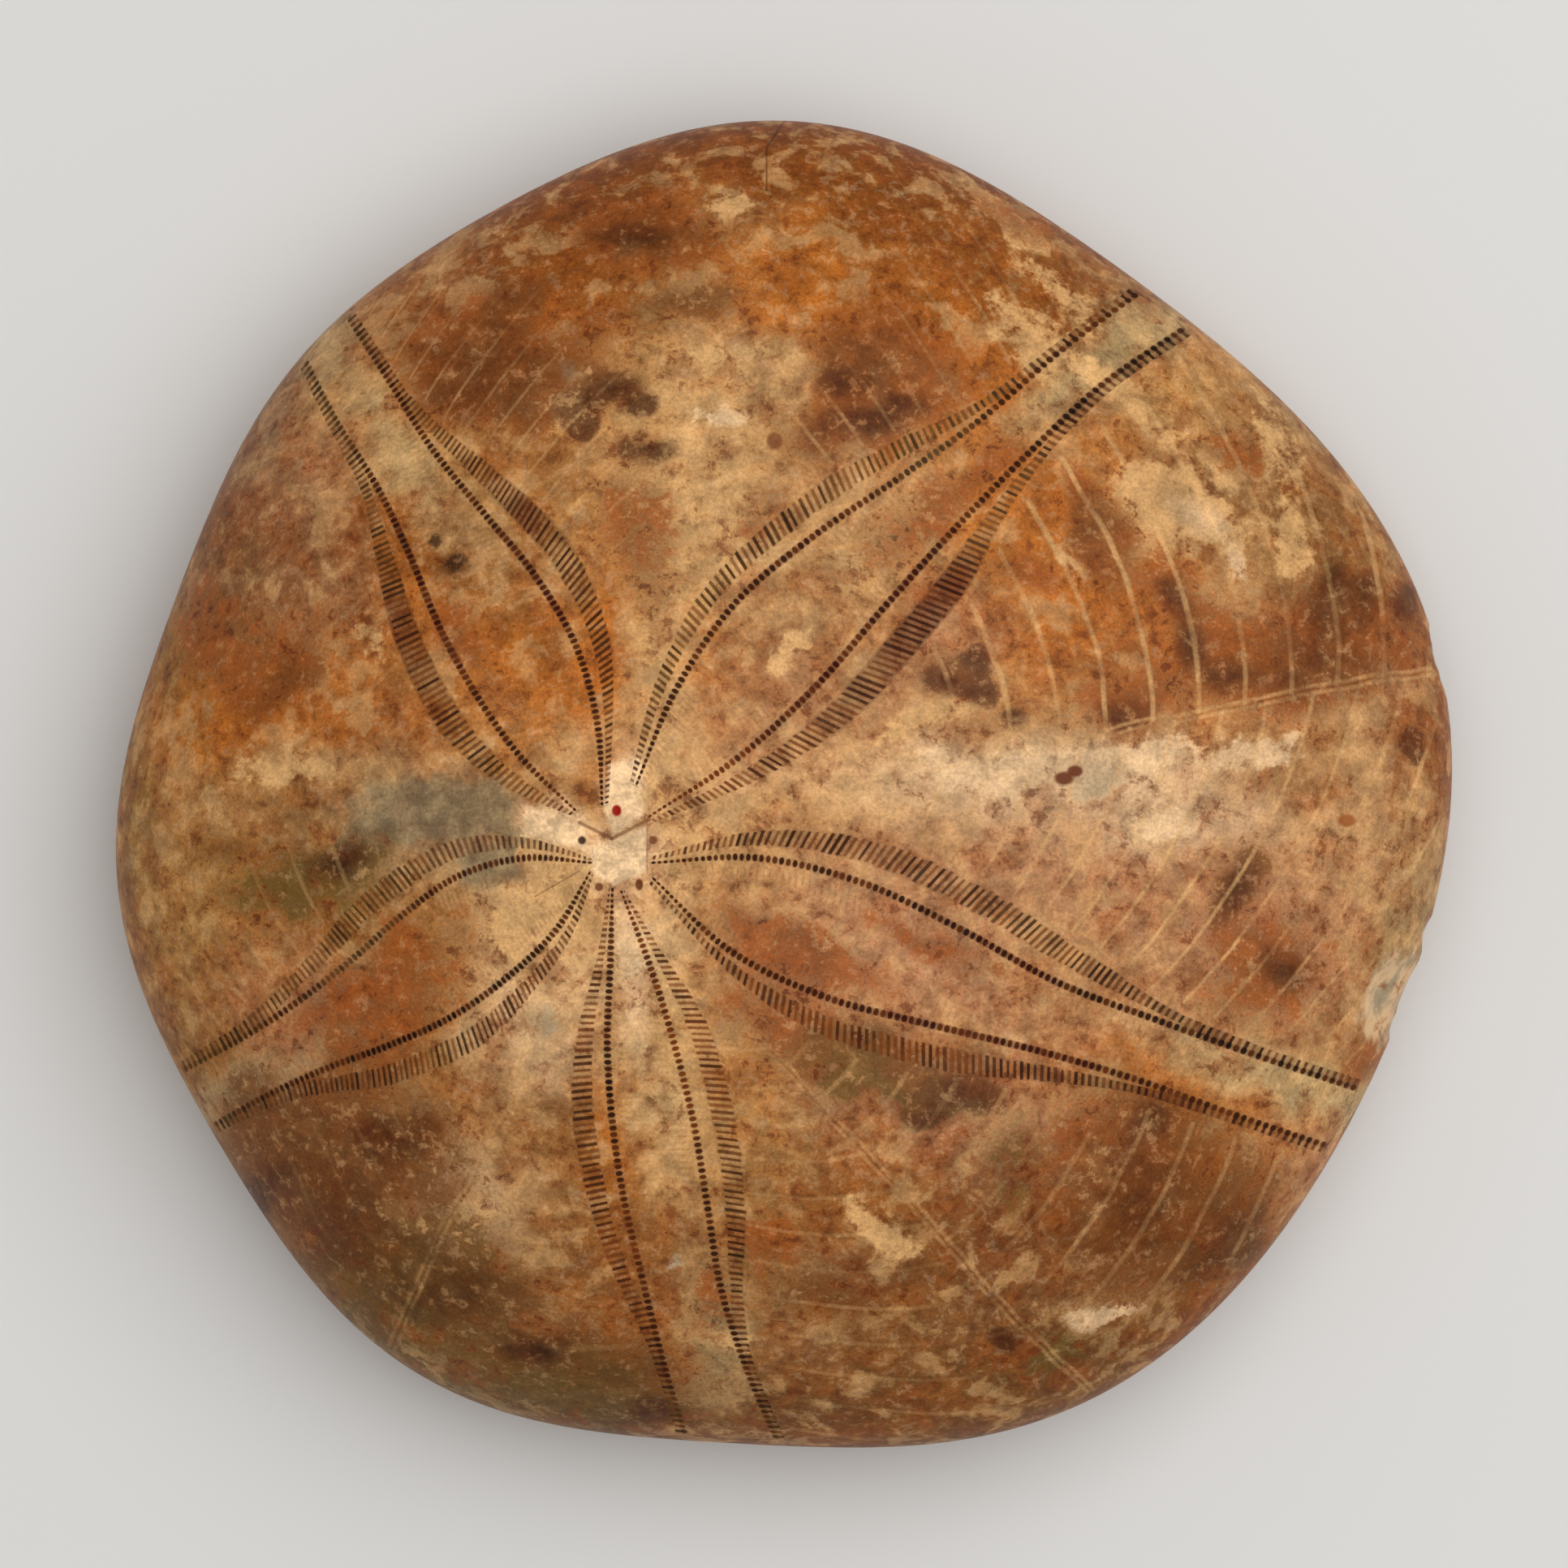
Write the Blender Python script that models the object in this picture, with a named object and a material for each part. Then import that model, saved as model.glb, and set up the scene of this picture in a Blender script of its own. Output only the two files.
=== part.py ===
# Polished fossil sand dollar (an irregular sea urchin of the sea biscuit kind), one solid stone.
#
# The shell lies as it lived: mouth side down, five-petalled side up, front end towards -X.
# Frame: metres, +Z up, origin under the middle of the outline on the plane it rests on.
import bpy
import bmesh
import numpy as np
from math import radians

MM = 0.001

# Overall size
LENGTH = 85.0 * MM            # front to back, along X
HEIGHT = 28.0 * MM            # resting face to the top of the dome
AMBITUS_HEIGHT = 9.0 * MM     # height of the widest line

# Outline seen from above: direction in degrees from +X, distance from the middle in mm.
# The five shallow flats are where the petals run over the edge.
OUTLINE = (
    (0, 42.4), (15, 42.3), (35, 40.1), (52, 39.2), (70, 40.1), (88, 42.2), (105, 41.5),
    (122, 40.8), (140, 41.0), (162, 40.3), (180, 42.3), (195, 42.7), (212, 42.7), (235, 43.9),
    (250, 43.5), (265, 41.9), (290, 43.6), (310, 43.1), (332, 41.9), (348, 42.0),
)
OUTLINE_HARMONICS = 8

# Features, as places in the frame or directions from its origin
APEX = (-10.4 * MM, -4.7 * MM)               # where the petals meet
MOUTH = (-7.0 * MM, -2.4 * MM)               # middle of the mouth, on the underside
PETALS = (51.0, 136.0, 208.0, 264.6, 327.6)  # where each petal crosses the outline, degrees
PETAL_HALF_WIDTH = radians(9.0)
REAR = 9.0                                   # direction of the rear midline, degrees

# Dome
DOME_POINT = 1.85             # 2 is a round crown, less is more pointed
DOME_ROUND = 0.52             # power that turns the dome down at the edge
PETAL_SINK = 0.45 * MM        # how far the petals lie below the plates between them
KEEL_RISE = 0.35 * MM         # low ridge along the rear midline

# Underside, as shares of the way from the mouth to the outline
REST_OUTER = 0.82             # outer edge of the flat resting ring
REST_INNER = 0.66             # inner edge of it
HOLLOW_RISE = 3.2 * MM        # how far the underside rises towards the mouth
MOUTH_RADIUS = 3.6 * MM
MOUTH_DEPTH = 2.2 * MM
LIP_RADIUS = 6.2 * MM         # the five swollen lips between the petals' rows
LIP_SWELL = 1.0 * MM
VENT_SHARE = 0.92             # the vent, under the rear edge
VENT_DEPTH = 1.6 * MM
VENT_HALF_LENGTH = 0.075      # along the way out, as a share of it
VENT_HALF_WIDTH = radians(5.0)

# Rings of the mesh: number of points around, from the middle out
FULL_RING = 96
TOP_RINGS = 15
EDGE_RINGS = 6
REST_RINGS = 1
HOLLOW_RINGS = 11


def remove_everything():
    for item in list(bpy.data.objects):
        bpy.data.objects.remove(item, do_unlink=True)


# Smooth closed curve through the outline's points: a mean radius and a few waves around it,
# scaled to the real length and centred on the origin.
def outline_curve(turn):
    def waves(angle):
        orders = np.arange(1, OUTLINE_HARMONICS + 1)
        phase = np.outer(angle, orders)
        return np.hstack([np.ones((len(angle), 1)), np.cos(phase), np.sin(phase)])

    points = np.array(OUTLINE, dtype=float)
    weights = np.linalg.lstsq(waves(np.radians(points[:, 0])), points[:, 1] * MM, rcond=None)[0]

    fine = np.linspace(0.0, 2.0 * np.pi, 1440, endpoint=False)
    radius = waves(fine) @ weights
    x, y = radius * np.cos(fine), radius * np.sin(fine)
    middle = np.array([x.max() + x.min(), y.max() + y.min()]) / 2.0
    scale = LENGTH / (x.max() - x.min())

    radius = waves(turn) @ weights
    around = np.stack([radius * np.cos(turn), radius * np.sin(turn)], axis=1)
    return (around - middle) * scale


# Bell of height 1 around a direction, wrapped at the full circle
def bell(turn, centre, half_width):
    away = np.angle(np.exp(1j * (turn - centre)))
    return np.exp(-(away / half_width) ** 2)


def petal_bells(turn, half_width):
    return sum(bell(turn, radians(direction), half_width) for direction in PETALS)


# Ring of the upper side, a share of the way from the apex to the outline
def top_ring(count, share):
    turn = np.linspace(0.0, 2.0 * np.pi, count, endpoint=False)
    edge = outline_curve(turn)
    flat = np.array(APEX) + share * (edge - np.array(APEX))
    dome = (1.0 - share ** DOME_POINT) ** DOME_ROUND
    height = np.full(count, AMBITUS_HEIGHT + (HEIGHT - AMBITUS_HEIGHT) * dome)
    fade = np.sin(np.pi * share ** 1.5)
    height -= PETAL_SINK * fade * petal_bells(turn, PETAL_HALF_WIDTH)
    height += KEEL_RISE * fade * bell(turn, radians(REAR), PETAL_HALF_WIDTH)
    return np.column_stack([flat, height])


# Ring of the lower side, a share of the way from the mouth to the outline.
# From the outline in: a quarter round edge with the vent sunk in it, the flat ring,
# then a shallow hollow that rises to the mouth with its five lips.
def lower_ring(count, share):
    turn = np.linspace(0.0, 2.0 * np.pi, count, endpoint=False)
    edge = outline_curve(turn)
    flat = np.array(MOUTH) + share * (edge - np.array(MOUTH))
    if share >= REST_OUTER:
        along = (share - REST_OUTER) / (1.0 - REST_OUTER)
        height = np.full(count, AMBITUS_HEIGHT * (1.0 - np.sqrt(1.0 - along ** 2)))
        reach = np.exp(-((share - VENT_SHARE) / VENT_HALF_LENGTH) ** 4)
        height += VENT_DEPTH * reach * bell(turn, radians(REAR), VENT_HALF_WIDTH)
    elif share >= REST_INNER:
        height = np.zeros(count)
    else:
        inward = 1.0 - share / REST_INNER
        height = np.full(count, HOLLOW_RISE * inward ** 2 * (3.0 - 2.0 * inward))
        distance = np.hypot(*(flat - np.array(MOUTH)).T)
        height += MOUTH_DEPTH * np.exp(-(distance / MOUTH_RADIUS) ** 4)
        lips = np.exp(-((distance - LIP_RADIUS) / (0.4 * LIP_RADIUS)) ** 2)
        height -= LIP_SWELL * lips * (1.0 - petal_bells(turn, 2.0 * PETAL_HALF_WIDTH))
    return np.column_stack([flat, height])


# Fewer points around where a ring is small, so that no triangle is a sliver
def points_around(share):
    if share < 0.12:
        return FULL_RING // 8
    if share < 0.25:
        return FULL_RING // 4
    if share < 0.5:
        return FULL_RING // 2
    return FULL_RING


# Faces between two rings; where one has twice the points, each of its steps takes three triangles
def join_rings(mesh, first, second):
    few, many = sorted((first, second), key=len)
    ratio = len(many) // len(few)
    for step in range(len(few)):
        a, b = few[step], few[(step + 1) % len(few)]
        start = step * ratio
        c, d = many[start], many[(start + ratio) % len(many)]
        if ratio == 1:
            mesh.faces.new((a, b, d, c))
        else:
            middle = many[start + 1]
            mesh.faces.new((a, middle, c))
            mesh.faces.new((a, b, middle))
            mesh.faces.new((b, d, middle))


def close_ring(mesh, ring, height):
    points = [vert.co for vert in ring]
    middle = sum((point.copy() for point in points[1:]), points[0].copy()) / len(points)
    tip = mesh.verts.new((middle.x, middle.y, height))
    for step in range(len(ring)):
        mesh.faces.new((tip, ring[step], ring[(step + 1) % len(ring)]))


def stone_material():
    material = bpy.data.materials.new("fossil_stone")
    material.use_nodes = True
    shader = material.node_tree.nodes["Principled BSDF"]
    shader.inputs["Base Color"].default_value = (0.42, 0.21, 0.08, 1.0)
    shader.inputs["Roughness"].default_value = 0.38
    shader.inputs["Metallic"].default_value = 0.0
    return material


def build_sand_dollar():
    top_shares = np.sin(np.linspace(0.0, np.pi / 2.0, TOP_RINGS + 1))[1:]
    edge_turns = np.linspace(0.0, np.pi / 2.0, EDGE_RINGS + 1)[1:]
    edge_shares = REST_OUTER + (1.0 - REST_OUTER) * np.cos(edge_turns)
    rest_shares = np.linspace(REST_OUTER, REST_INNER, REST_RINGS + 1)[1:]
    hollow_shares = np.linspace(REST_INNER, 0.0, HOLLOW_RINGS + 1)[1:-1]

    rings = [top_ring(points_around(share), share) for share in top_shares]
    lower_shares = np.concatenate([edge_shares, rest_shares, hollow_shares])
    rings += [lower_ring(points_around(share), share) for share in lower_shares]

    mesh = bmesh.new()
    loops = [[mesh.verts.new(point) for point in ring] for ring in rings]
    for first, second in zip(loops, loops[1:]):
        join_rings(mesh, first, second)
    close_ring(mesh, loops[0], HEIGHT)
    close_ring(mesh, loops[-1], HOLLOW_RISE + MOUTH_DEPTH)
    bmesh.ops.recalc_face_normals(mesh, faces=mesh.faces)
    bmesh.ops.triangulate(mesh, faces=mesh.faces)

    data = bpy.data.meshes.new("sand_dollar")
    mesh.to_mesh(data)
    mesh.free()
    data.materials.append(stone_material())
    data.shade_smooth()
    piece = bpy.data.objects.new("sand_dollar", data)
    bpy.context.scene.collection.objects.link(piece)


remove_everything()
build_sand_dollar()
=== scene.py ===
import bmesh
import bpy
import numpy as np
from math import radians, pi, tan
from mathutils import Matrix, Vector


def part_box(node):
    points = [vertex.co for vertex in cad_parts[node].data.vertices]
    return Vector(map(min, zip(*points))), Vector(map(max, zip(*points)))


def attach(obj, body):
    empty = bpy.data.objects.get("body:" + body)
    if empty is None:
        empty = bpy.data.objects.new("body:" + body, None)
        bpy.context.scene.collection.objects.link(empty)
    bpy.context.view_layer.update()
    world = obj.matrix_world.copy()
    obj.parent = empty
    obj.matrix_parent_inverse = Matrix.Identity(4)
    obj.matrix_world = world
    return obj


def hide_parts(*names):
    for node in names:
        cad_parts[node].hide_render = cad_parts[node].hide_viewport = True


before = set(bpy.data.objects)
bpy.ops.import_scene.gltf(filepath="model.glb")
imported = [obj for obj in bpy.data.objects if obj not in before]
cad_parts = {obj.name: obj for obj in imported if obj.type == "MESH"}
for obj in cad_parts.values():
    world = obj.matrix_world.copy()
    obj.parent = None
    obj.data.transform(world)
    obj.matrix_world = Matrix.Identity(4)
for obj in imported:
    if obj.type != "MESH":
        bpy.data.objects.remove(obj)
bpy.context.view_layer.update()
lowCorner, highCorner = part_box("sand_dollar")

# All shapes below are worked out in millimetres and put into the mesh in metres.
toMetres = 0.001

# The stone as a whole

stone = {
    "length": (highCorner[0] - lowCorner[0]) / toMetres,   # front to back, along X
    "height": (highCorner[2] - lowCorner[2]) / toMetres,
    "edgeHeight": 9.0,                                     # height of the widest line
    # outline from above: direction in degrees, distance from the middle
    "outline": [
        (0, 42.4), (15, 42.3), (35, 40.1), (52, 39.2), (70, 40.1), (88, 42.2), (105, 41.5),
        (122, 40.8), (140, 41.0), (162, 40.3), (180, 42.3), (195, 42.7), (212, 42.7),
        (235, 43.9), (250, 43.5), (265, 41.9), (290, 43.6), (310, 43.1), (332, 41.9), (348, 42.0)],
    "waves": 8,
    "apex": (-10.4, -4.7),                                 # where the petals meet
    "mouth": (-7.0, -2.4),                                 # middle of the mouth, underneath
    "petalTurns": (51.0, 136.0, 208.0, 264.6, 327.6),      # where the petals cross the outline
    "petalHalf": 9.0,
    "petalSink": 0.45,
    "rearTurn": 9.0,                                       # direction of the rear midline
    "keelRise": 0.35,
    "domePoint": 1.85,                                     # 2 is a round crown, less is pointed
    "domeRound": 0.52,
    "restOuter": 0.82,                                     # flat ring, as shares of the way out
    "restInner": 0.66,
    "hollowRise": 3.2,
    "mouthRadius": 3.6,
    "mouthDepth": 2.2,
    "lipRadius": 6.2,
    "lipSwell": 1.0,
    "ventShare": 0.92,
    "ventDepth": 1.6,
    "ventHalfLength": 0.075,
    "ventHalfWidth": 5.0,
}
apex = np.array(stone["apex"])
mouth = np.array(stone["mouth"])


# A smooth curve through knots: cubic pieces that share their slope where they meet,
# each slope taken from the knots on both sides.
def smoothThrough(knots, values, at):
    knots = np.asarray(knots, float)
    values = np.asarray(values, float)
    slopes = np.gradient(values, knots, axis=0)
    i = np.clip(np.searchsorted(knots, at) - 1, 0, len(knots) - 2)
    gap = knots[i + 1] - knots[i]
    s = (at - knots[i]) / gap
    if values.ndim == 2:
        gap, s = gap[:, None], s[:, None]
    rise = 3 * s ** 2 - 2 * s ** 3
    return ((1 - rise) * values[i] + rise * values[i + 1]
            + (s ** 3 - 2 * s ** 2 + s) * gap * slopes[i] + (s ** 3 - s ** 2) * gap * slopes[i + 1])


# The outline: a mean radius with a few waves around it, fitted to the outline's points,
# scaled to the stone's length and centred.
def makeOutline():
    def waves(turn):
        phase = np.outer(turn, np.arange(1, stone["waves"] + 1))
        return np.hstack([np.ones((len(turn), 1)), np.cos(phase), np.sin(phase)])

    points = np.array(stone["outline"], float)
    weights = np.linalg.lstsq(waves(np.radians(points[:, 0])), points[:, 1], rcond=None)[0]
    fine = np.linspace(0, 2 * pi, 1440, endpoint=False)
    radius = waves(fine) @ weights
    around = np.stack([radius * np.cos(fine), radius * np.sin(fine)], axis=1)
    middle = (around.max(axis=0) + around.min(axis=0)) / 2
    scale = stone["length"] / (around[:, 0].max() - around[:, 0].min())
    return fine, (around - middle) * scale


outlineTurns, outlinePoints = makeOutline()
fromApex = outlinePoints - apex
apexAngles = np.unwrap(np.arctan2(fromApex[:, 1], fromApex[:, 0]))
apexReach = np.hypot(fromApex[:, 0], fromApex[:, 1])


# Direction about the middle of the outline point that lies in a given direction from the apex
def turnFromApex(angle):
    start = apexAngles[0]
    wrapped = start + (angle - start) % (2 * pi)
    return np.interp(wrapped, np.r_[apexAngles, start + 2 * pi], np.r_[outlineTurns, 2 * pi])


def outlineAt(turn):
    return np.stack([np.interp(turn, outlineTurns, outlinePoints[:, axis], period=2 * pi)
                     for axis in (0, 1)], axis=1)


# Bell of height 1 around a direction given in degrees
def bell(turn, centre, half):
    away = np.angle(np.exp(1j * (turn - radians(centre))))
    return np.exp(-(away / radians(half)) ** 2)


def petalBells(turn, half):
    return sum(bell(turn, direction, half) for direction in stone["petalTurns"])


# Soft steady noise: a sum of sine waves in seeded directions, scaled to about -1 to 1
def softNoise(points, size, seed, waves=9):
    dice = np.random.default_rng(seed)
    directions = dice.normal(size=(waves, points.shape[1]))
    directions /= np.linalg.norm(directions, axis=1)[:, None]
    lengths = size * dice.uniform(0.6, 1.6, waves)
    phases = dice.uniform(0, 2 * pi, waves)
    turns = points @ (directions * (2 * pi / lengths)[:, None]).T + phases
    return np.sin(turns).sum(axis=1) / waves ** 0.5 / 1.4


def smoothStep(low, high, value):
    s = np.clip((value - low) / (high - low), 0, 1)
    return s * s * (3 - 2 * s)


# Polar place on the upper side: angle about the apex, and the share of the way to the outline
def toPolar(points):
    out = points - apex
    angle = np.arctan2(out[:, 1], out[:, 0])
    reach = np.interp(angle, apexAngles, apexReach, period=2 * pi)
    return angle, np.hypot(out[:, 0], out[:, 1]) / reach


def fromPolar(angle, share):
    reach = np.interp(angle, apexAngles, apexReach, period=2 * pi) * share
    return apex + np.stack([reach * np.cos(angle), reach * np.sin(angle)], axis=1)


# Height of the upper side: a crown (1 - share^p)^q from the apex to the widest line, less a
# shallow trough along each petal, plus a low ridge along the rear midline.
def topHeight(angle, share):
    turn = turnFromApex(angle)
    share = np.clip(share, 0, 1)
    crown = (1 - share ** stone["domePoint"]) ** stone["domeRound"]
    fade = np.sin(pi * share ** 1.5)
    trough = stone["petalSink"] * petalBells(turn, stone["petalHalf"])
    ridge = stone["keelRise"] * bell(turn, stone["rearTurn"], stone["petalHalf"])
    return stone["edgeHeight"] + (stone["height"] - stone["edgeHeight"]) * crown + fade * (ridge - trough)


def liftTop(angle, share):
    return np.column_stack([fromPolar(angle, share), topHeight(angle, share)])


# Lower side, from the outline in: a quarter round edge with the vent sunk in it, the flat
# ring, then a hollow that rises to the mouth between its five lips.
def lowerSide(turn, share):
    flat = mouth + share * (outlineAt(turn) - mouth)
    if share >= stone["restOuter"]:
        along = (share - stone["restOuter"]) / (1 - stone["restOuter"])
        height = np.full(len(turn), stone["edgeHeight"] * (1 - (1 - along ** 2) ** 0.5))
        reach = np.exp(-((share - stone["ventShare"]) / stone["ventHalfLength"]) ** 4)
        height += stone["ventDepth"] * reach * bell(turn, stone["rearTurn"], stone["ventHalfWidth"])
    elif share >= stone["restInner"]:
        height = np.zeros(len(turn))
    else:
        inward = 1 - share / stone["restInner"]
        distance = np.linalg.norm(flat - mouth, axis=1)
        lips = np.exp(-((distance - stone["lipRadius"]) / (0.4 * stone["lipRadius"])) ** 2)
        height = stone["hollowRise"] * inward ** 2 * (3 - 2 * inward)
        height = height + stone["mouthDepth"] * np.exp(-(distance / stone["mouthRadius"]) ** 4)
        height -= stone["lipSwell"] * lips * (1 - petalBells(turn, 2 * stone["petalHalf"]))
    return np.column_stack([flat, height])


# Pore rows

# Each petal has two rows, named in anticlockwise order. "path" runs through the round pores
# from the apex out; "reach" is how far the slits' outer ends stand from it at the shares in
# rowShares; "lean" tips the slits towards the edge, in degrees; tones run from the apex out.
rowShares = (0, 0.12, 0.25, 0.4, 0.5, 0.6, 0.72, 0.82, 1)
pitchShares = (0, 0.15, 0.4, 0.6, 0.8, 1)
poreShape = {
    "roundHalf": 0.24,       # half the length of a round pore, across the row
    "margin": 0.13,          # plain stone kept beside a row
    "slitStart": 0.46,       # inner end of a slit, as a share of its reach
    "roundDepth": 0.10,
    "slitDepth": 0.08,
    "startSize": 0.38,       # the first pores are this much of the full size
    "rowPhases": (0.0, 0.27, 0.5, 0.73),
    "joinFrom": 0.70,        # from here out each slit runs into its round pore
    "endShare": 0.985,       # the rows stop just above the widest line
}
petals = {
    "rearRight": {
        "pitch": (0.36, 0.41, 0.45, 0.445, 0.53, 0.55),
        "near": {
            "path": [(-8.5, -2.1), (-2.9, 1.6), (2.0, 6.1), (6.4, 11.2), (10.9, 16.2), (15.6, 21.0),
                     (20.4, 25.5), (25.9, 29.4)],
            "reach": (0.45, 1.65, 2.95, 3.25, 3.05, 1.9, 0.95, 0.7, 0.62), "lean": 20,
            "slits": "rust rust umber maroon maroon grey umber black black",
            "rounds": "rust rust maroon maroon maroon umber black black black"},
        "far": {
            "path": [(-9.2, -0.1), (-6.7, 5.9), (-3.0, 11.3), (1.9, 15.5), (7.3, 19.2), (12.6, 23.1),
                     (17.5, 27.4), (22.7, 31.4)],
            "reach": (0.45, 1.25, 2.0, 2.35, 2.45, 1.95, 1.0, 0.65, 0.6), "lean": 10,
            "slits": "umber olive olive umber olive olive grey umber umber",
            "rounds": "black umber umber maroon umber grey umber umber umber"}},
    "frontRight": {
        "pitch": (0.335, 0.375, 0.385, 0.36, 0.36, 0.38),
        "near": {
            "path": [(-11.3, -1.4), (-11.6, 3.7), (-13.0, 8.7), (-15.6, 13.1), (-18.9, 17.1),
                     (-22.1, 21.1), (-24.9, 25.5), (-27.7, 29.8)],
            "reach": (0.4, 0.85, 2.0, 2.86, 2.75, 2.25, 1.35, 0.6, 0.5), "lean": 18,
            "slits": "umber umber umber umber maroon umber olive umber umber",
            "rounds": "umber umber umber maroon maroon umber umber umber grey"},
        "far": {
            "path": [(-12.9, -1.7), (-16.4, 1.7), (-19.2, 5.6), (-21.5, 9.8), (-23.4, 14.3),
                     (-25.5, 18.6), (-28.1, 22.7), (-30.4, 26.9)],
            "reach": (0.4, 1.95, 3.05, 2.95, 2.6, 2.0, 1.05, 0.7, 0.5), "lean": 0,
            "slits": "rust olive umber maroon maroon olive grey grey grey",
            "rounds": "rust umber umber maroon maroon maroon umber grey grey"}},
    "front": {
        "pitch": (0.34, 0.345, 0.345, 0.35, 0.36, 0.36),
        "near": {
            "path": [(-11.9, -4.9), (-16.1, -4.6), (-20.2, -5.7), (-23.7, -8.1), (-26.9, -10.9),
                     (-30.2, -13.5), (-33.7, -15.8), (-37.4, -17.8)],
            "reach": (0.25, 1.1, 2.08, 2.5, 2.6, 2.1, 1.45, 0.95, 0.5), "lean": 0,
            "slits": "rust umber rust olive olive olive grey olive olive",
            "rounds": "umber umber umber umber grey grey umber olive olive"},
        "far": {
            "path": [(-12.0, -5.4), (-14.2, -9.1), (-17.3, -12.1), (-20.7, -14.5), (-24.6, -16.3),
                     (-28.6, -17.8), (-32.5, -19.6), (-36.2, -21.7)],
            "reach": (0.25, 0.95, 1.7, 2.5, 2.45, 2.3, 1.5, 0.95, 0.5), "lean": 13,
            "slits": "umber umber rust umber olive umber umber olive olive",
            "rounds": "umber umber black black black black umber umber grey"}},
    "frontLeft": {
        "pitch": (0.34, 0.39, 0.415, 0.40, 0.38, 0.36),
        "near": {
            "path": [(-10.66, -6.4), (-10.8, -11.2), (-11.0, -16.2), (-10.7, -21.1), (-10.0, -25.9),
                     (-8.9, -30.7), (-7.7, -35.5), (-6.4, -40.2)],
            "reach": (0.2, 0.8, 1.75, 2.42, 2.3, 2.1, 1.5, 0.75, 0.5), "lean": 2,
            "slits": "umber rust rust umber umber rust umber umber olive",
            "rounds": "umber umber umber black umber rust umber umber olive"},
        "far": {
            "path": [(-10.16, -6.55), (-8.3, -11.4), (-6.8, -16.3), (-5.6, -21.3), (-4.8, -26.3),
                     (-4.0, -31.4), (-2.5, -36.3), (-0.6, -41.0)],
            "reach": (0.2, 1.0, 2.3, 2.57, 2.53, 2.2, 1.3, 0.65, 0.5), "lean": 17,
            "slits": "rust rust rust rust umber umber umber umber olive",
            "rounds": "rust rust rust rust umber umber umber umber olive"}},
    "rearLeft": {
        "pitch": (0.37, 0.42, 0.455, 0.44, 0.51, 0.5),
        "near": {
            "path": [(-8.2, -5.8), (-3.3, -10.4), (2.7, -13.3), (9.1, -15.0), (15.6, -16.6),
                     (22.0, -18.5), (28.3, -20.8), (34.6, -23.0)],
            "reach": (0.4, 0.9, 2.1, 2.6, 2.4, 1.65, 0.85, 0.62, 0.55), "lean": 14,
            "slits": "umber umber rust rust umber umber maroon umber umber",
            "rounds": "umber umber umber maroon maroon maroon umber umber umber"},
        "far": {
            "path": [(-8.3, -4.9), (-1.6, -4.6), (5.0, -6.2), (11.1, -9.1), (17.1, -12.4),
                     (23.4, -14.8), (29.8, -17.1), (36.3, -19.3)],
            "reach": (0.4, 1.55, 2.6, 2.95, 2.78, 2.2, 0.95, 0.68, 0.6), "lean": 17,
            "slits": "rust umber plum umber olive umber black umber black",
            "rounds": "umber umber umber black maroon black black black black"}},
}
toneColours = {    # as seen on screen, 0 to 255
    "black": (30, 14, 6), "umber": (62, 30, 10), "maroon": (60, 16, 7), "rust": (112, 52, 16),
    "olive": (88, 62, 24), "grey": (92, 72, 42), "plum": (80, 42, 22),
}
landTint = {    # how far the land between the slits takes their tone
    "black": 0.35, "umber": 0.16, "maroon": 0.5, "rust": 0.05, "olive": 0.08, "grey": 0.16, "plum": 0.2,
}


def linear(colour):
    return (np.asarray(colour, float) / 255) ** 2.2


def tonesAlong(names, share):
    tones = np.array([[*linear(toneColours[name]), landTint[name]] for name in names.split()])
    knots = np.linspace(0, 1, len(tones))
    return np.stack([np.interp(share, knots, tones[:, i]) for i in range(4)], axis=1)


# The parts of the mesh are gathered here: points, faces, and one value of each kind per point
attributeKinds = {    # width, and the value where nothing is said
    "porePhase": (1, 0.0), "roundAcross": (1, 9.0), "slitAcross": (1, 9.0), "plateAlong": (1, 0.0),
    "plateAcross": (1, 0.0), "seams": (1, 0.0), "midSeam": (1, 0.0), "fineLines": (1, 0.0),
    "roundTone": (4, 0.0), "slitTone": (4, 0.0)}


class Gather:
    def __init__(self):
        self.points, self.faces, self.depths = [], [], []
        self.values = {name: [] for name in attributeKinds}
        self.count = 0

    def add(self, points, depth=0.0, **values):
        size = len(points)
        self.points.append(points)
        self.depths.append(np.broadcast_to(depth, size).astype(float))
        for name, (width, plain) in attributeKinds.items():
            value = np.asarray(values.get(name, plain), float)
            wide = (size,) if width == 1 else (size, width)
            self.values[name].append(np.broadcast_to(value, wide))
        self.count += size
        return np.arange(self.count - size, self.count)

    def grid(self, ids):
        a, b, c, d = ids[:-1, :-1], ids[1:, :-1], ids[1:, 1:], ids[:-1, 1:]
        self.faces.append(np.stack([a, b, c], axis=-1).reshape(-1, 3))
        self.faces.append(np.stack([a, c, d], axis=-1).reshape(-1, 3))

    # Triangles between two lines of points that differ in number. Both lines carry a measure
    # from 0 to 1; each step of one line takes the other line's point nearest its middle.
    def stitch(self, first, second, firstAt, secondAt):
        firstMid = (firstAt[:-1] + firstAt[1:]) / 2
        secondMid = (secondAt[:-1] + secondAt[1:]) / 2
        partner = np.searchsorted(secondMid, firstMid)
        self.faces.append(np.stack([first[:-1], first[1:], second[partner]], axis=1))
        partner = np.searchsorted(firstMid, secondMid, side="right")
        self.faces.append(np.stack([second[:-1], first[partner], second[1:]], axis=1))


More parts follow.
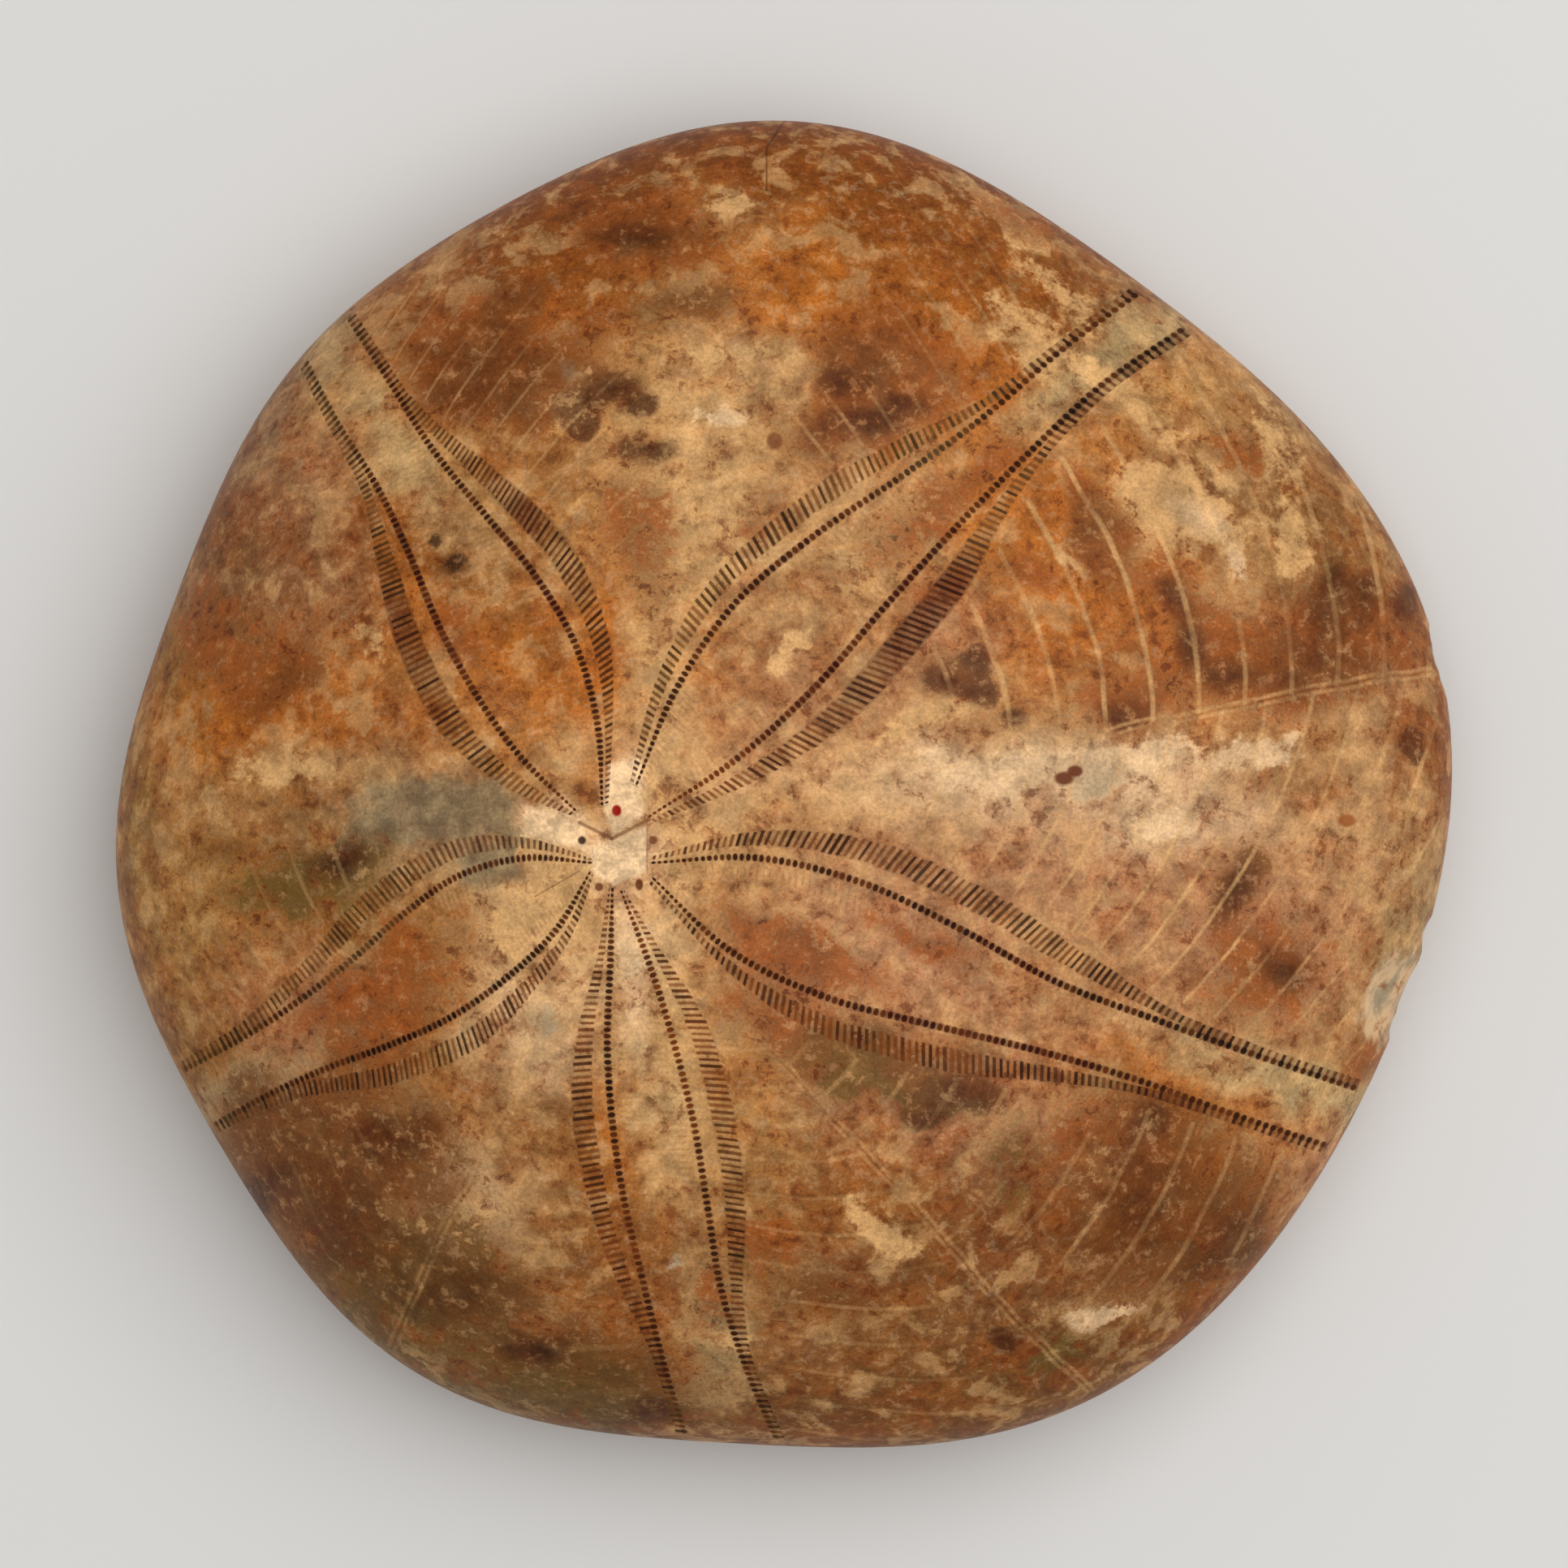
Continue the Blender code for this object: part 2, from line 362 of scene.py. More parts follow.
# One pore row as a strip of its own: four cross lines for each pore (between, rim, bottom,
# rim) and ten lengthways lines (edge, three over the round pore, gap, four over the slit, edge).
def makeRow(mesh, row, pitch, side, number):
    shape = poreShape
    path = np.array(row["path"])
    knots = np.r_[0, np.cumsum(np.hypot(*np.diff(path, axis=0).T))]
    along = np.linspace(0, knots[-1], 1200)
    line = smoothThrough(knots, path, along)
    share = along / along[-1]
    step = np.interp(share, pitchShares, pitch)
    phase = np.r_[0, np.cumsum(np.diff(along) * 2 / (step[1:] + step[:-1]))]
    pores = int(phase[-1])
    phase *= pores / phase[-1]
    rowPhases = (np.arange(pores)[:, None] + np.array(shape["rowPhases"])).ravel()
    rowPhases = np.r_[rowPhases, pores]

    at = np.interp(rowPhases, phase, share)
    base = np.stack([np.interp(at, share, line[:, i]) for i in (0, 1)], axis=1)
    slope = np.gradient(line, along, axis=0)
    heading = np.stack([np.interp(at, share, slope[:, i]) for i in (0, 1)], axis=1)
    heading /= np.linalg.norm(heading, axis=1)[:, None]
    outward = side * np.stack([-heading[:, 1], heading[:, 0]], axis=1)

    size = shape["startSize"] + (1 - shape["startSize"]) * smoothStep(0, 0.14, at)
    size *= 1 - 0.12 * smoothStep(0.7, 1, at)
    half = shape["roundHalf"] * size
    margin = shape["margin"] * size
    reach = smoothThrough(rowShares, row["reach"], at)
    start = np.maximum(shape["slitStart"] * reach, half + 0.13 * size)
    reach = np.maximum(reach, start + 0.22 * size)
    across = np.stack([-half - margin, -half, 0 * half, half, (half + start) / 2, start,
                       start + (reach - start) / 3, start + (reach - start) * 2 / 3, reach,
                       reach + margin], axis=1)
    lean = tan(radians(row["lean"])) * np.maximum(across - start[:, None] / 2, 0)
    flat = base[:, None] + across[..., None] * outward[:, None] + lean[..., None] * heading[:, None]

    # the last cross line is drawn on to the share where the rows stop
    rows, columns = across.shape
    angle, away = (value.reshape(rows, columns) for value in toPolar(flat.reshape(-1, 2)))
    stretch = shape["endShare"] / away[-1]
    away = away * (1 + (stretch - 1) * smoothStep(0.5, 1, at)[:, None])

    jitter = np.random.default_rng(40 + number).uniform(0.6, 1.1, pores + 1)
    pit = np.tile([0.0, 0.0, 1.0, 0.0], pores)
    pit = np.r_[pit, 0] * jitter[np.minimum(rowPhases.astype(int), pores)]
    profile = np.array([0, 0, shape["roundDepth"], 0, 0, 0, shape["slitDepth"], shape["slitDepth"], 0, 0])
    profile[5] = 0.35 * shape["slitDepth"]
    depth = pit[:, None] * profile * size[:, None]

    roundAcross = across / half[:, None]
    inner = start * (1 - smoothStep(shape["joinFrom"], shape["joinFrom"] + 0.12, at))
    slitAcross = (2 * across - (reach + inner)[:, None]) / (reach - inner)[:, None]
    if side < 0:
        angle, away, depth = angle[:, ::-1], away[:, ::-1], depth[:, ::-1]
        roundAcross, slitAcross = roundAcross[:, ::-1], slitAcross[:, ::-1]
    spread = np.repeat(at, columns)
    ids = mesh.add(
        liftTop(angle.ravel(), away.ravel()), depth.ravel(),
        porePhase=np.repeat(rowPhases + 200 * number, columns),
        roundAcross=roundAcross.ravel(), slitAcross=slitAcross.ravel(),
        roundTone=tonesAlong(row["rounds"], spread), slitTone=tonesAlong(row["slits"], spread))
    ids = ids.reshape(rows, columns)
    mesh.grid(ids)
    return {"ids": ids, "angle": angle, "away": away, "phase": rowPhases + 200 * number}


# The plain stone between the rows

fill = {
    "coarse": 0.50,          # widest spacing of its points
    "fine": 0.13,            # spacing beside the apex
    "growth": 0.06,          # how fast the spacing widens on the way out
}

# How the plates show: slants either side of the middle line (positive runs outwards on the way
# to the middle), how clear their edges and their middle line are, and the fine lines that
# start between the pores. The areas follow the petals anticlockwise.
plainFill = {"side": 9.0, "slants": (0, 0), "seams": 0.0, "seamReach": 9, "seamFrom": 0, "midSeam": 0.0,
             "lines": 0.5, "lineReach": 1.2}
insidePetal = {**plainFill, "side": -9.0, "lines": 1.0, "lineReach": 2.4}
betweenPetals = [
    {**plainFill, "slants": (0.60, 0.60), "seams": 0.55, "seamReach": 10, "seamFrom": 20},
    {**plainFill, "slants": (0.55, 0.30), "seams": 0.5, "seamReach": 8, "seamFrom": 14},
    {**plainFill, "slants": (0.20, 0.20), "seams": 0.2, "seamReach": 8, "seamFrom": 12, "midSeam": 0.3},
    {**plainFill, "slants": (0.22, 0.22), "seams": 0.45, "seamReach": 20, "seamFrom": 14, "midSeam": 0.45},
    {**plainFill, "slants": (0.49, -0.31), "seams": 1.0, "seamReach": 40, "seamFrom": 19, "midSeam": 0.6},
]


def lengthAlong(angle, away):
    steps = np.diff(liftTop(angle, away), axis=0)
    along = np.r_[0, np.cumsum(np.linalg.norm(steps, axis=1))]
    return along / along[-1], along[-1]


# Stone between two rows: cross lines at equal shares of both sides' length, each an arc about
# the apex, with as many points as its width needs, stitched line to line and side to side.
# plateAlong is the distance out from the apex plus slant x distance from the middle line, so
# that it stays the same along a plate's edge; fineLines fades from each row into the stone.
def makeFill(mesh, right, left, plates):
    sides = []
    for strip, column in ((right, -1), (left, 0)):
        angle, away = np.unwrap(strip["angle"][:, column]), strip["away"][:, column]
        measure, length = lengthAlong(angle, away)
        sides.append((strip["ids"][:, column], angle, away, measure, length, strip["phase"]))
    gap = (sides[1][1][-1] - sides[0][1][-1]) % (2 * pi)
    shift = sides[0][1][-1] + gap - sides[1][1][-1]
    length = (sides[0][4] + sides[1][4]) / 2

    stops = [0.0]
    while stops[-1] < length:
        stops.append(stops[-1] + min(fill["coarse"], fill["fine"] + fill["growth"] * stops[-1]))
    stops = np.array(stops) / stops[-1]

    crossLines, measures = [], []
    for stop in stops:
        angleA, angleB = (np.interp(stop, side[3], side[1]) for side in sides)
        awayA, awayB = (np.interp(stop, side[3], side[2]) for side in sides)
        phaseA, phaseB = (np.interp(stop, side[3], side[5]) for side in sides)
        angleB += shift
        ends = liftTop(np.array([angleA, angleB]), np.array([awayA, awayB]))
        reach = np.interp(angleA, apexAngles, apexReach, period=2 * pi) * (awayA + awayB) / 2
        width = max(abs(angleB - angleA) * reach, np.linalg.norm(ends[1] - ends[0]))
        spacing = min(fill["coarse"], fill["fine"] + fill["growth"] * stop * length)
        count = max(1, int(round(width / spacing)) - 1)
        share = np.arange(1, count + 1) / (count + 1)
        angle = angleA + (angleB - angleA) * share
        away = awayA + (awayB - awayA) * share
        middle = np.interp((angleA + angleB) / 2, apexAngles, apexReach, period=2 * pi)
        across = (share - 0.5) * width
        slant = np.where(across < 0, plates["slants"][0], plates["slants"][1])
        near = np.minimum(share, 1 - share) * width
        fade = np.exp(-(near / min(plates["lineReach"], 0.22 * width + 0.01)) ** 2)
        begun = smoothStep(plates["seamFrom"] - 6, plates["seamFrom"] + 6, away * middle)
        crossLines.append(mesh.add(
            liftTop(angle, away), porePhase=np.where(share < 0.5, phaseA, phaseB),
            roundAcross=plates["side"], slitAcross=plates["side"],
            plateAlong=away * middle + slant * abs(across), plateAcross=across,
            seams=plates["seams"] * np.exp(-(near / plates["seamReach"]) ** 2) * begun,
            midSeam=plates["midSeam"] * begun, fineLines=fade * plates["lines"]))
        measures.append(share)

    for first, second, firstAt, secondAt in zip(crossLines, crossLines[1:], measures, measures[1:]):
        mesh.stitch(first, second, firstAt, secondAt)
    mesh.stitch(sides[0][0], np.array([line[0] for line in crossLines]), sides[0][3], stops)
    mesh.stitch(np.array([line[-1] for line in crossLines]), sides[1][0], stops, sides[1][3])
    return {"first": crossLines[0], "last": crossLines[-1]}


# A closed line of points joined to the next one in, both measured by their angle
def stitchLoops(mesh, outer, inner, outerAngle, innerAngle):
    def closed(ids, angle):
        order = np.argsort(angle)
        ids, angle = ids[order], angle[order]
        return np.r_[ids, ids[0]], np.r_[angle, angle[0] + 2 * pi]

    firstIds, firstAt = closed(outer, outerAngle % (2 * pi))
    secondIds, secondAt = closed(inner, innerAngle % (2 * pi))
    mesh.stitch(firstIds, secondIds, firstAt, secondAt)


def angleOf(mesh, ids, centre):
    points = np.concatenate(mesh.points)[ids, :2] - centre
    return np.arctan2(points[:, 1], points[:, 0])


capRings = 22


# The cap over the apex: copies of its rim drawn in towards the middle, with fewer and fewer points
def makeCap(mesh, rim):
    angle = angleOf(mesh, rim, apex)
    away = toPolar(np.concatenate(mesh.points)[rim, :2])[1]
    order = np.argsort(angle)
    rings = capRings
    outer, outerAngle = rim, angle
    for ring in range(1, rings):
        size = 1 - ring / rings
        count = max(9, int(len(rim) * size))
        around = np.linspace(0, 2 * pi, count, endpoint=False)
        share = size * np.interp(around, angle[order], away[order], period=2 * pi)
        ids = mesh.add(liftTop(around, share))
        stitchLoops(mesh, outer, ids, outerAngle, around)
        outer, outerAngle = ids, around
    tip = mesh.add(liftTop(np.zeros(1), np.zeros(1)))
    ring = np.r_[outer, outer[0]]
    mesh.faces.append(np.stack([ring[:-1], ring[1:], np.full(len(outer), tip[0])], axis=1))


# Edge and underside

under = {"around": 440, "spacing": 0.6, "edgeRings": 26, "restRings": 8, "hollowRings": 40}


def makeUnder(mesh, rim):
    count = under["around"]
    outer = rim
    outerAngle = angleOf(mesh, rim, np.zeros(2))

    def addRing(points, ids, angles):
        fresh = mesh.add(points)
        freshAngles = np.arctan2(points[:, 1], points[:, 0])
        stitchLoops(mesh, ids, fresh, angles, freshAngles)
        return fresh, freshAngles

    turns = np.linspace(0, 2 * pi, count, endpoint=False)
    for share in 1 - (1 - poreShape["endShare"]) * np.linspace(1, 0, 6)[1:] ** 2:
        edge = outlineAt(turns) - apex
        points = liftTop(np.arctan2(edge[:, 1], edge[:, 0]), np.full(count, share))
        outer, outerAngle = addRing(points, outer, outerAngle)

    fall = np.linspace(0, pi / 2, under["edgeRings"] + 1)[1:]
    shares = [stone["restOuter"] + (1 - stone["restOuter"]) * np.cos(fall)]
    shares.append(np.linspace(stone["restOuter"], stone["restInner"], under["restRings"] + 1)[1:])
    shares.append(np.linspace(stone["restInner"], 0, under["hollowRings"] + 1)[1:-1])
    for share in np.concatenate(shares):
        size = count if share > 0.6 else max(9, int(count * share / 0.6))
        turns = np.linspace(0, 2 * pi, size, endpoint=False)
        points = lowerSide(turns, share)
        if share < stone["restInner"]:
            fresh = mesh.add(points)
            freshAngles = np.arctan2(*(points[:, :2] - mouth).T[::-1])
            stitchLoops(mesh, outer, fresh, angleOf(mesh, outer, mouth), freshAngles)
            outer, outerAngle = fresh, freshAngles
        else:
            outer, outerAngle = addRing(points, outer, outerAngle)
    tip = mesh.add(np.array([[*mouth, stone["hollowRise"] + stone["mouthDepth"]]]))
    ring = np.r_[outer, outer[0]]
    mesh.faces.append(np.stack([ring[:-1], ring[1:], np.full(len(outer), tip[0])], axis=1))


# The whole mesh

def buildShell():
    mesh = Gather()
    strips = []
    for petal in petals.values():
        strips.append(makeRow(mesh, petal["near"], petal["pitch"], -1, len(strips)))
        strips.append(makeRow(mesh, petal["far"], petal["pitch"], 1, len(strips)))
    inner, outer = [], []
    for i, strip in enumerate(strips):
        following = strips[(i + 1) % len(strips)]
        between = makeFill(mesh, strip, following, betweenPetals[i // 2] if i % 2 else insidePetal)
        inner += [strip["ids"][0], between["first"]]
        outer += [strip["ids"][-1], between["last"]]
    print("petals: %d points" % mesh.count)
    makeCap(mesh, np.concatenate(inner))
    makeUnder(mesh, np.concatenate(outer))
    print("whole shell: %d points" % mesh.count)
    return mesh


mesh = buildShell()
points = np.concatenate(mesh.points)
faces = np.concatenate(mesh.faces)

# Normals, from faces turned outwards about a point inside: the pores are pressed in along them
corners = points[faces]
facing = np.cross(corners[:, 1] - corners[:, 0], corners[:, 2] - corners[:, 0])
outwards = corners.mean(axis=1) - np.array([0, 0, 10.0])
turned = (facing * outwards).sum(axis=1) < 0
faces[turned] = faces[turned][:, ::-1]
facing[turned] *= -1

normals = np.zeros_like(points)
for corner in range(3):
    np.add.at(normals, faces[:, corner], facing)
normals /= np.linalg.norm(normals, axis=1)[:, None] + 1e-12


# Stains

stoneColours = {    # as seen on screen, 0 to 255
    "ivory": (234, 192, 144), "cream": (218, 168, 110), "sand": (192, 138, 80),
    "tan": (162, 104, 54), "amber": (190, 106, 34), "rust": (148, 78, 32), "umber": (78, 40, 20),
    "brown": (112, 66, 32), "moss": (98, 76, 36), "grey": (136, 120, 90), "rose": (182, 124, 82),
    "plum": (104, 62, 42), "ochre": (150, 104, 40), "ink": (48, 27, 15), "red": (156, 26, 10),
    "slate": (170, 150, 118), "maroon": (106, 50, 22), "chalk": (248, 206, 156), "olive": (98, 76, 20),
    "beige": (190, 162, 112), "blush": (194, 136, 100), "ember": (138, 72, 12),
}

# Three layers: soft ground colours, then pale patches, then dark stains on top. The brown, ember and olive
# patches along the top and bottom edges make the rim darker: partly the stone's colour there, partly painted
# shade along the rim.
# Each patch: x, y, half length, half width in mm, and its turn in degrees.
ground = [
    ("sand", 0.9, [(-5, 16, 8, 14, 0), (16, 1, 14, 6, 4), (28, 20, 9, 8, 0), (-6, -24, 5, 14, 4),
        (-18, -24, 5, 6, 20), (24, -3, 9, 6, 0), (36, -1, 4, 9, 0), (-17, -10, 5, 4, 30), (-33, 2, 7, 4, 0),
        (3, 12, 9, 4, 45), (-22, 17, 10, 3, 123), (32, 27, 4, 8, -40), (38, -12, 3, 6, 0),
        (-20, 34, 8, 3, 35)]),
    ("amber", 0.9, [(-5, 37, 12, 5, 10), (7, 35, 8, 5, 0), (13, 32, 7, 4, -30), (-14, 32, 7, 4, 30),
        (19, 10.5, 8, 5, 0), (17, 18, 6, 4, 30), (-3.5, 8, 5, 3, 60), (-10.9, 8, 1.6, 7, 4),
        (-17, 9, 5, 3, 123), (-13, 5, 3, 5, 20), (-34, 4, 6, 3, 0), (41, 6, 2, 5, 0),
        (26, -19, 8, 1.5, -20), (-39, 6, 2, 4, 0), (-36, -11, 4, 5, 0), (-11, -21, 2, 6, 0),
        (-29, 7, 5, 3, 0), (3, 30, 6, 4, 0), (0, 41, 14, 2, 0), (16, 25, 7, 2, 45), (-24, 14, 3, 6, 30),
        (10, 30, 5, 4, 0)]),
    ("rose", 0.8, [(12, -13, 9, 3, -22), (3, -9, 6, 2.4, -30), (19, -7, 8, 3, -15), (28, -9, 6, 5, 0),
        (16, -27, 5, 5, 0), (30, 5.6, 9, 2, 8), (-30, 14, 4, 7, 0), (-31, 20, 4, 4, 0), (30, 8, 7, 4, 0),
        (-20, 31, 4, 3, 30), (33, -12, 5, 5, 0), (38, 4, 3, 6, 0)]),
    ("rust", 0.6, [(-10, 38, 7, 3, 15), (12, 39, 8, 3, -15), (-18, 28, 7, 5, 30), (0, -12, 6, 4, -30),
        (22, -28, 9, 7, 0), (8, -20, 8, 4, 0), (6, 25, 6, 4, 0), (26, 8, 6, 5, 0)]),
    ("rust", 0.3, [(-24, -24, 8, 7, 30), (-12, -33, 9, 5, 0)]),
    ("ochre", 0.85, [(-37, -9, 4, 5, 0), (39, -6, 2.4, 8, 0), (-27, -33, 7, 3, -40), (-37, -17, 3, 5, 0),
        (-41, -2, 1.5, 8, 0), (27, -34, 7, 3, 40), (-40, 10, 2, 6, 20), (18, -37, 6, 3, 10)]),
    # olive along the bottom edge: partly the stone's colour, partly painted shade on the rim
    ("olive", 0.8, [(-14, -40, 9, 2.4, -12), (-2, -41.5, 12, 2, 0), (10, -42, 7, 2, 6),
        (-25, -35, 7, 2, -35), (-36, -26, 6, 2, -55)]),
    ("cream", 0.7, [(-5, 20, 4.4, 8, 0), (-7.6, 7, 2, 8, -6), (12, 0.6, 9, 3, 3), (26, 18, 5, 4, 0),
        (26, 12, 2, 3, 0), (26, -2, 8, 3, 10), (-8, -13, 2.6, 8, 8), (-16, -10, 4, 3, 40),
        (5, 19, 6, 2, 35), (36, 0, 3, 6, 0), (-2, 26, 4, 2, 0), (23, 28.8, 8, 2.6, 38),
        (-27, 25, 7, 2.6, 123), (33, -19.6, 7, 2.4, -20), (-35, -19.6, 5, 1.2, 30), (-6.4, -25, 1.6, 8, 5),
        (3, 12, 8, 2, 45), (-20, 15, 4, 1.4, 123), (-18, -24.5, 2, 5, 20), (-13, 2, 2.4, 1.6, 40),
        (1, 0, 7, 1.4, 0), (-3.6, 36.4, 3, 1.6, 0), (33, 24, 2, 5, -35), (-26, 1.4, 6, 1, 0),
        (19, -32.6, 4, 1.4, 14), (-2, 13, 3, 4, 0)]),
    # the first patch darkens the top edge: partly the stone's colour, partly painted shade on the rim
    ("brown", 0.45, [(0, 41, 12, 3, 0), (-34, 16, 4, 6, 20), (-27, 15, 5, 4, 30), (-15, 35, 5, 3, 30),
        (16, -36, 6, 3, 10), (40, 3, 3, 6, 0), (29, 20, 3, 6, -40), (19, 27, 6, 3, 40), (33, 15, 2, 3, 0)]),
    ("rust", 0.5, [(3, 19, 4, 3, 30), (-1, 9, 3, 3, 45)]),
    ("amber", 0.6, [(12, 25, 4, 3, 30), (26, 8, 4, 3, 0), (24, 13, 3, 2, 0)]),
    # olive along the bottom edge: partly the stone's colour, partly painted shade on the rim
    ("olive", 0.5, [(-10, -41, 10, 3, -10), (8, -41, 9, 3, 8)]),
    # the first patch darkens the top edge: partly the stone's colour, partly painted shade on the rim
    ("brown", 0.5, [(0, 40.5, 16, 4, 0), (-14, 36, 7, 3, 30), (-9, 31, 5, 3, 0), (12, -31, 8, 4, 10),
        (16, -37, 10, 4, 18), (-36, 15, 2, 5, 20), (-15, 9, 1.6, 4, 30), (-8, -30, 5, 5, 0)]),
    # the first and third patches darken the top and bottom edges: partly the stone's colour, partly painted
    # shade on the rim
    ("brown", 0.34, [(2, 38, 17, 6, 0), (12, 33, 9, 4, -30), (15, -36, 13, 6, 18), (4, -31, 7, 6, 0),
        (20, -27, 9, 6, 20), (34, 20, 5, 10, -30), (37, 10, 4, 6, 0), (-12, -39, 12, 4, -10)]),
    ("sand", 0.6, [(-14, -12, 6, 6, 0), (-1, -6, 6, 2, -20), (-21, -16, 5, 3, 30), (4, -14, 5, 4, -20),
        (18, -10, 6, 4, -20), (-37, -8, 4, 4, 0), (-2, -20, 3, 5, 0)]),
    ("grey", 0.6, [(-23, -2.6, 6, 2.8, 8), (-33, 24, 4, 2, 60)]),
    ("moss", 0.5, [(-29, -6, 5, 3, -10)]),
    ("rust", 0.5, [(-24, 3.4, 4, 2, 0), (-31, 4.4, 4, 2, 0), (-28, -14, 5, 3, 25)]),
    # the patches at (14, 0) and (24, -2) make a pale band right of the apex: partly the stone's pale colour,
    # partly a painted highlight
    ("ivory", 0.6, [(-14, -11, 4, 5, 30), (-10, -9, 3, 4, 0), (-15.5, -15, 4, 4, 0), (-19.5, -26, 3, 3, 0),
        (14, 0, 8, 2.4, 0), (24, -2, 7, 2.4, 0)]),
    ("beige", 0.8, [(20.5, 27.2, 10, 1.4, 38), (-27, 25.2, 8, 1.4, 123), (33, -19.4, 9, 1.4, -20),
        (-34.5, -19.2, 5, 1.0, 30), (-4, -36, 1.6, 5, 5)]),
    # ember along the rim: partly the stone's colour, partly painted shade on the rim
    ("ember", 0.75, [(0, 41.6, 14, 2.4, 0), (-16, 38, 7, 2.4, 28), (16, 38.5, 8, 2.4, -32),
        (41, 3, 2, 7, 0)]),
    ("blush", 0.4, [(14, -6, 10, 8, 0), (27, -6, 10, 8, 0), (39, -4, 4, 9, 0), (4, -10, 6, 6, 0),
        (12, -21, 9, 3, -10), (35, -25, 4, 4, -40), (10, 8, 5, 4, 45), (0, 4, 6, 4, 30),
        (-32, -14, 5, 4, 0)]),
    # the patches at (0, -41) and (0, 40) darken the bottom and top edges: partly the stone's colour, partly
    # painted shade on the rim
    ("brown", 0.36, [(0, -41, 11, 3.4, 0), (26, -34, 8, 4, 40), (-20, 14, 3, 4, 30), (0, -38, 8, 3, 0),
        (14, -28, 7, 4, 15), (-20.5, 14, 2.5, 4, 30), (-17, -20, 7, 3, 0), (-14, -27, 6, 5, 0),
        (4, -25, 6, 6, 0), (15, -25, 4, 3, 0), (32, 0, 7, 2, 0), (-30, 0, 8, 2, 0), (0, 10, 6, 4, 45),
        (0, 25, 3, 3, 0), (0, 40, 14, 3, 0), (-20, -31, 6, 4, -20), (10, 33, 6, 4, 0), (20, 31, 5, 3, 40)]),
    # the patches at (0, 39) and (-2, -42) darken the top and bottom edges: partly the stone's colour, partly
    # painted shade on the rim
    ("ember", 0.6, [(0, 39, 15, 3, 0), (-16, 33, 5, 3, 30), (-24, 29, 5, 3, 35), (42, 4, 2, 5, 0),
        (-2, -42, 10, 2, 0), (28, -33, 6, 2, 42)]),
    ("amber", 0.6, [(5, 25, 3, 2, 0), (12, 21, 3, 2, 30)]),
    ("sand", 0.5, [(22, -20, 5, 2, -15), (-9.5, 16, 2, 4, 10), (27, 4.6, 4, 2, 8), (40, -4, 2, 6, 0)]),
    ("beige", 0.5, [(40, -8, 2.4, 6, 0), (-8, -17, 2, 5, 4), (-18, -5, 3, 2, 0)]),
    # pale band right of the apex: partly the stone's pale colour, partly a painted highlight
    ("ivory", 0.8, [(14, 0.8, 7, 1.8, 2), (21, 0.6, 5, 2.0, 0), (24, -2.6, 4, 1.4, 10)]),
    ("cream", 0.8, [(-14, -9, 5, 4, 30), (-10, -12, 3, 6, 4), (-14, -5, 5, 3, 0), (-6, -3, 5, 3, 0),
        (-8, 1, 2, 3, 0)]),
    ("chalk", 0.9, [(-10.2, -4.7, 1.9, 2.0, 0), (-10.0, -0.4, 1.0, 2.4, 0), (-14.2, -2.6, 1.8, 1.4, 0),
        (-9.4, -11, 0.9, 5, 4)]),
]
pale = [
    ("cream", 0.8, [(-3, 27, 3, 0.6, 0), (24.5, 18.6, 3, 1.8, 0), (26.5, 16, 2.4, 1.8, 0),
        (18.4, 13.6, 2, 0.6, -30), (-13.4, 24, 0.9, 2.2, -30), (23, 17, 2, 3, 40), (16, 28, 1.6, 4, 50),
        (22, 24, 4, 1, -40), (-17, -9.4, 2.6, 1.8, 30), (-20, -27, 2.4, 1.2, 40), (-24, -27, 1, 2, 30),
        (14, 36, 1, 3, 50), (17.6, 31, 1, 3, 50), (32, 16, 1, 3, 0), (9, 4, 4, 0.7, 20),
        (20, -24, 1, 2, 30), (6, -28, 1, 3, 45), (31, 22, 1, 3, 30), (-4, -35, 2, 1, 0), (-31, 1, 3, 1, 0),
        (0.6, 8.4, 2, 0.8, 40), (-26, 9, 0.7, 2, 30), (-3.4, 36.4, 1.6, 0.8, 0)]),
    # the patches near y = 0 right of the apex make a pale band: partly the stone's pale colour, partly a
    # painted highlight
    ("ivory", 0.9, [(14, 0.8, 6, 1.4, 2), (21, 1.6, 5, 1.4, 6), (20, -33.4, 2.2, 0.6, 14),
        (26.0, 16.6, 1.8, 0.9, -40), (-4, 23, 2, 0.5, 0), (28.4, 13.8, 0.5, 1.2, 20), (24, -2.6, 2, 1, 0),
        (30, 2, 3, 1, 8)]),
    ("slate", 0.75, [(19.6, 0.2, 1.3, 1.3, 0), (-14.8, -14.6, 1.5, 1.1, 0), (-7, -30, 0.6, 0.5, 0),
        (-13.6, 26, 0.6, 0.8, 0), (38.2, -13.6, 1.4, 2.4, -20)]),
]
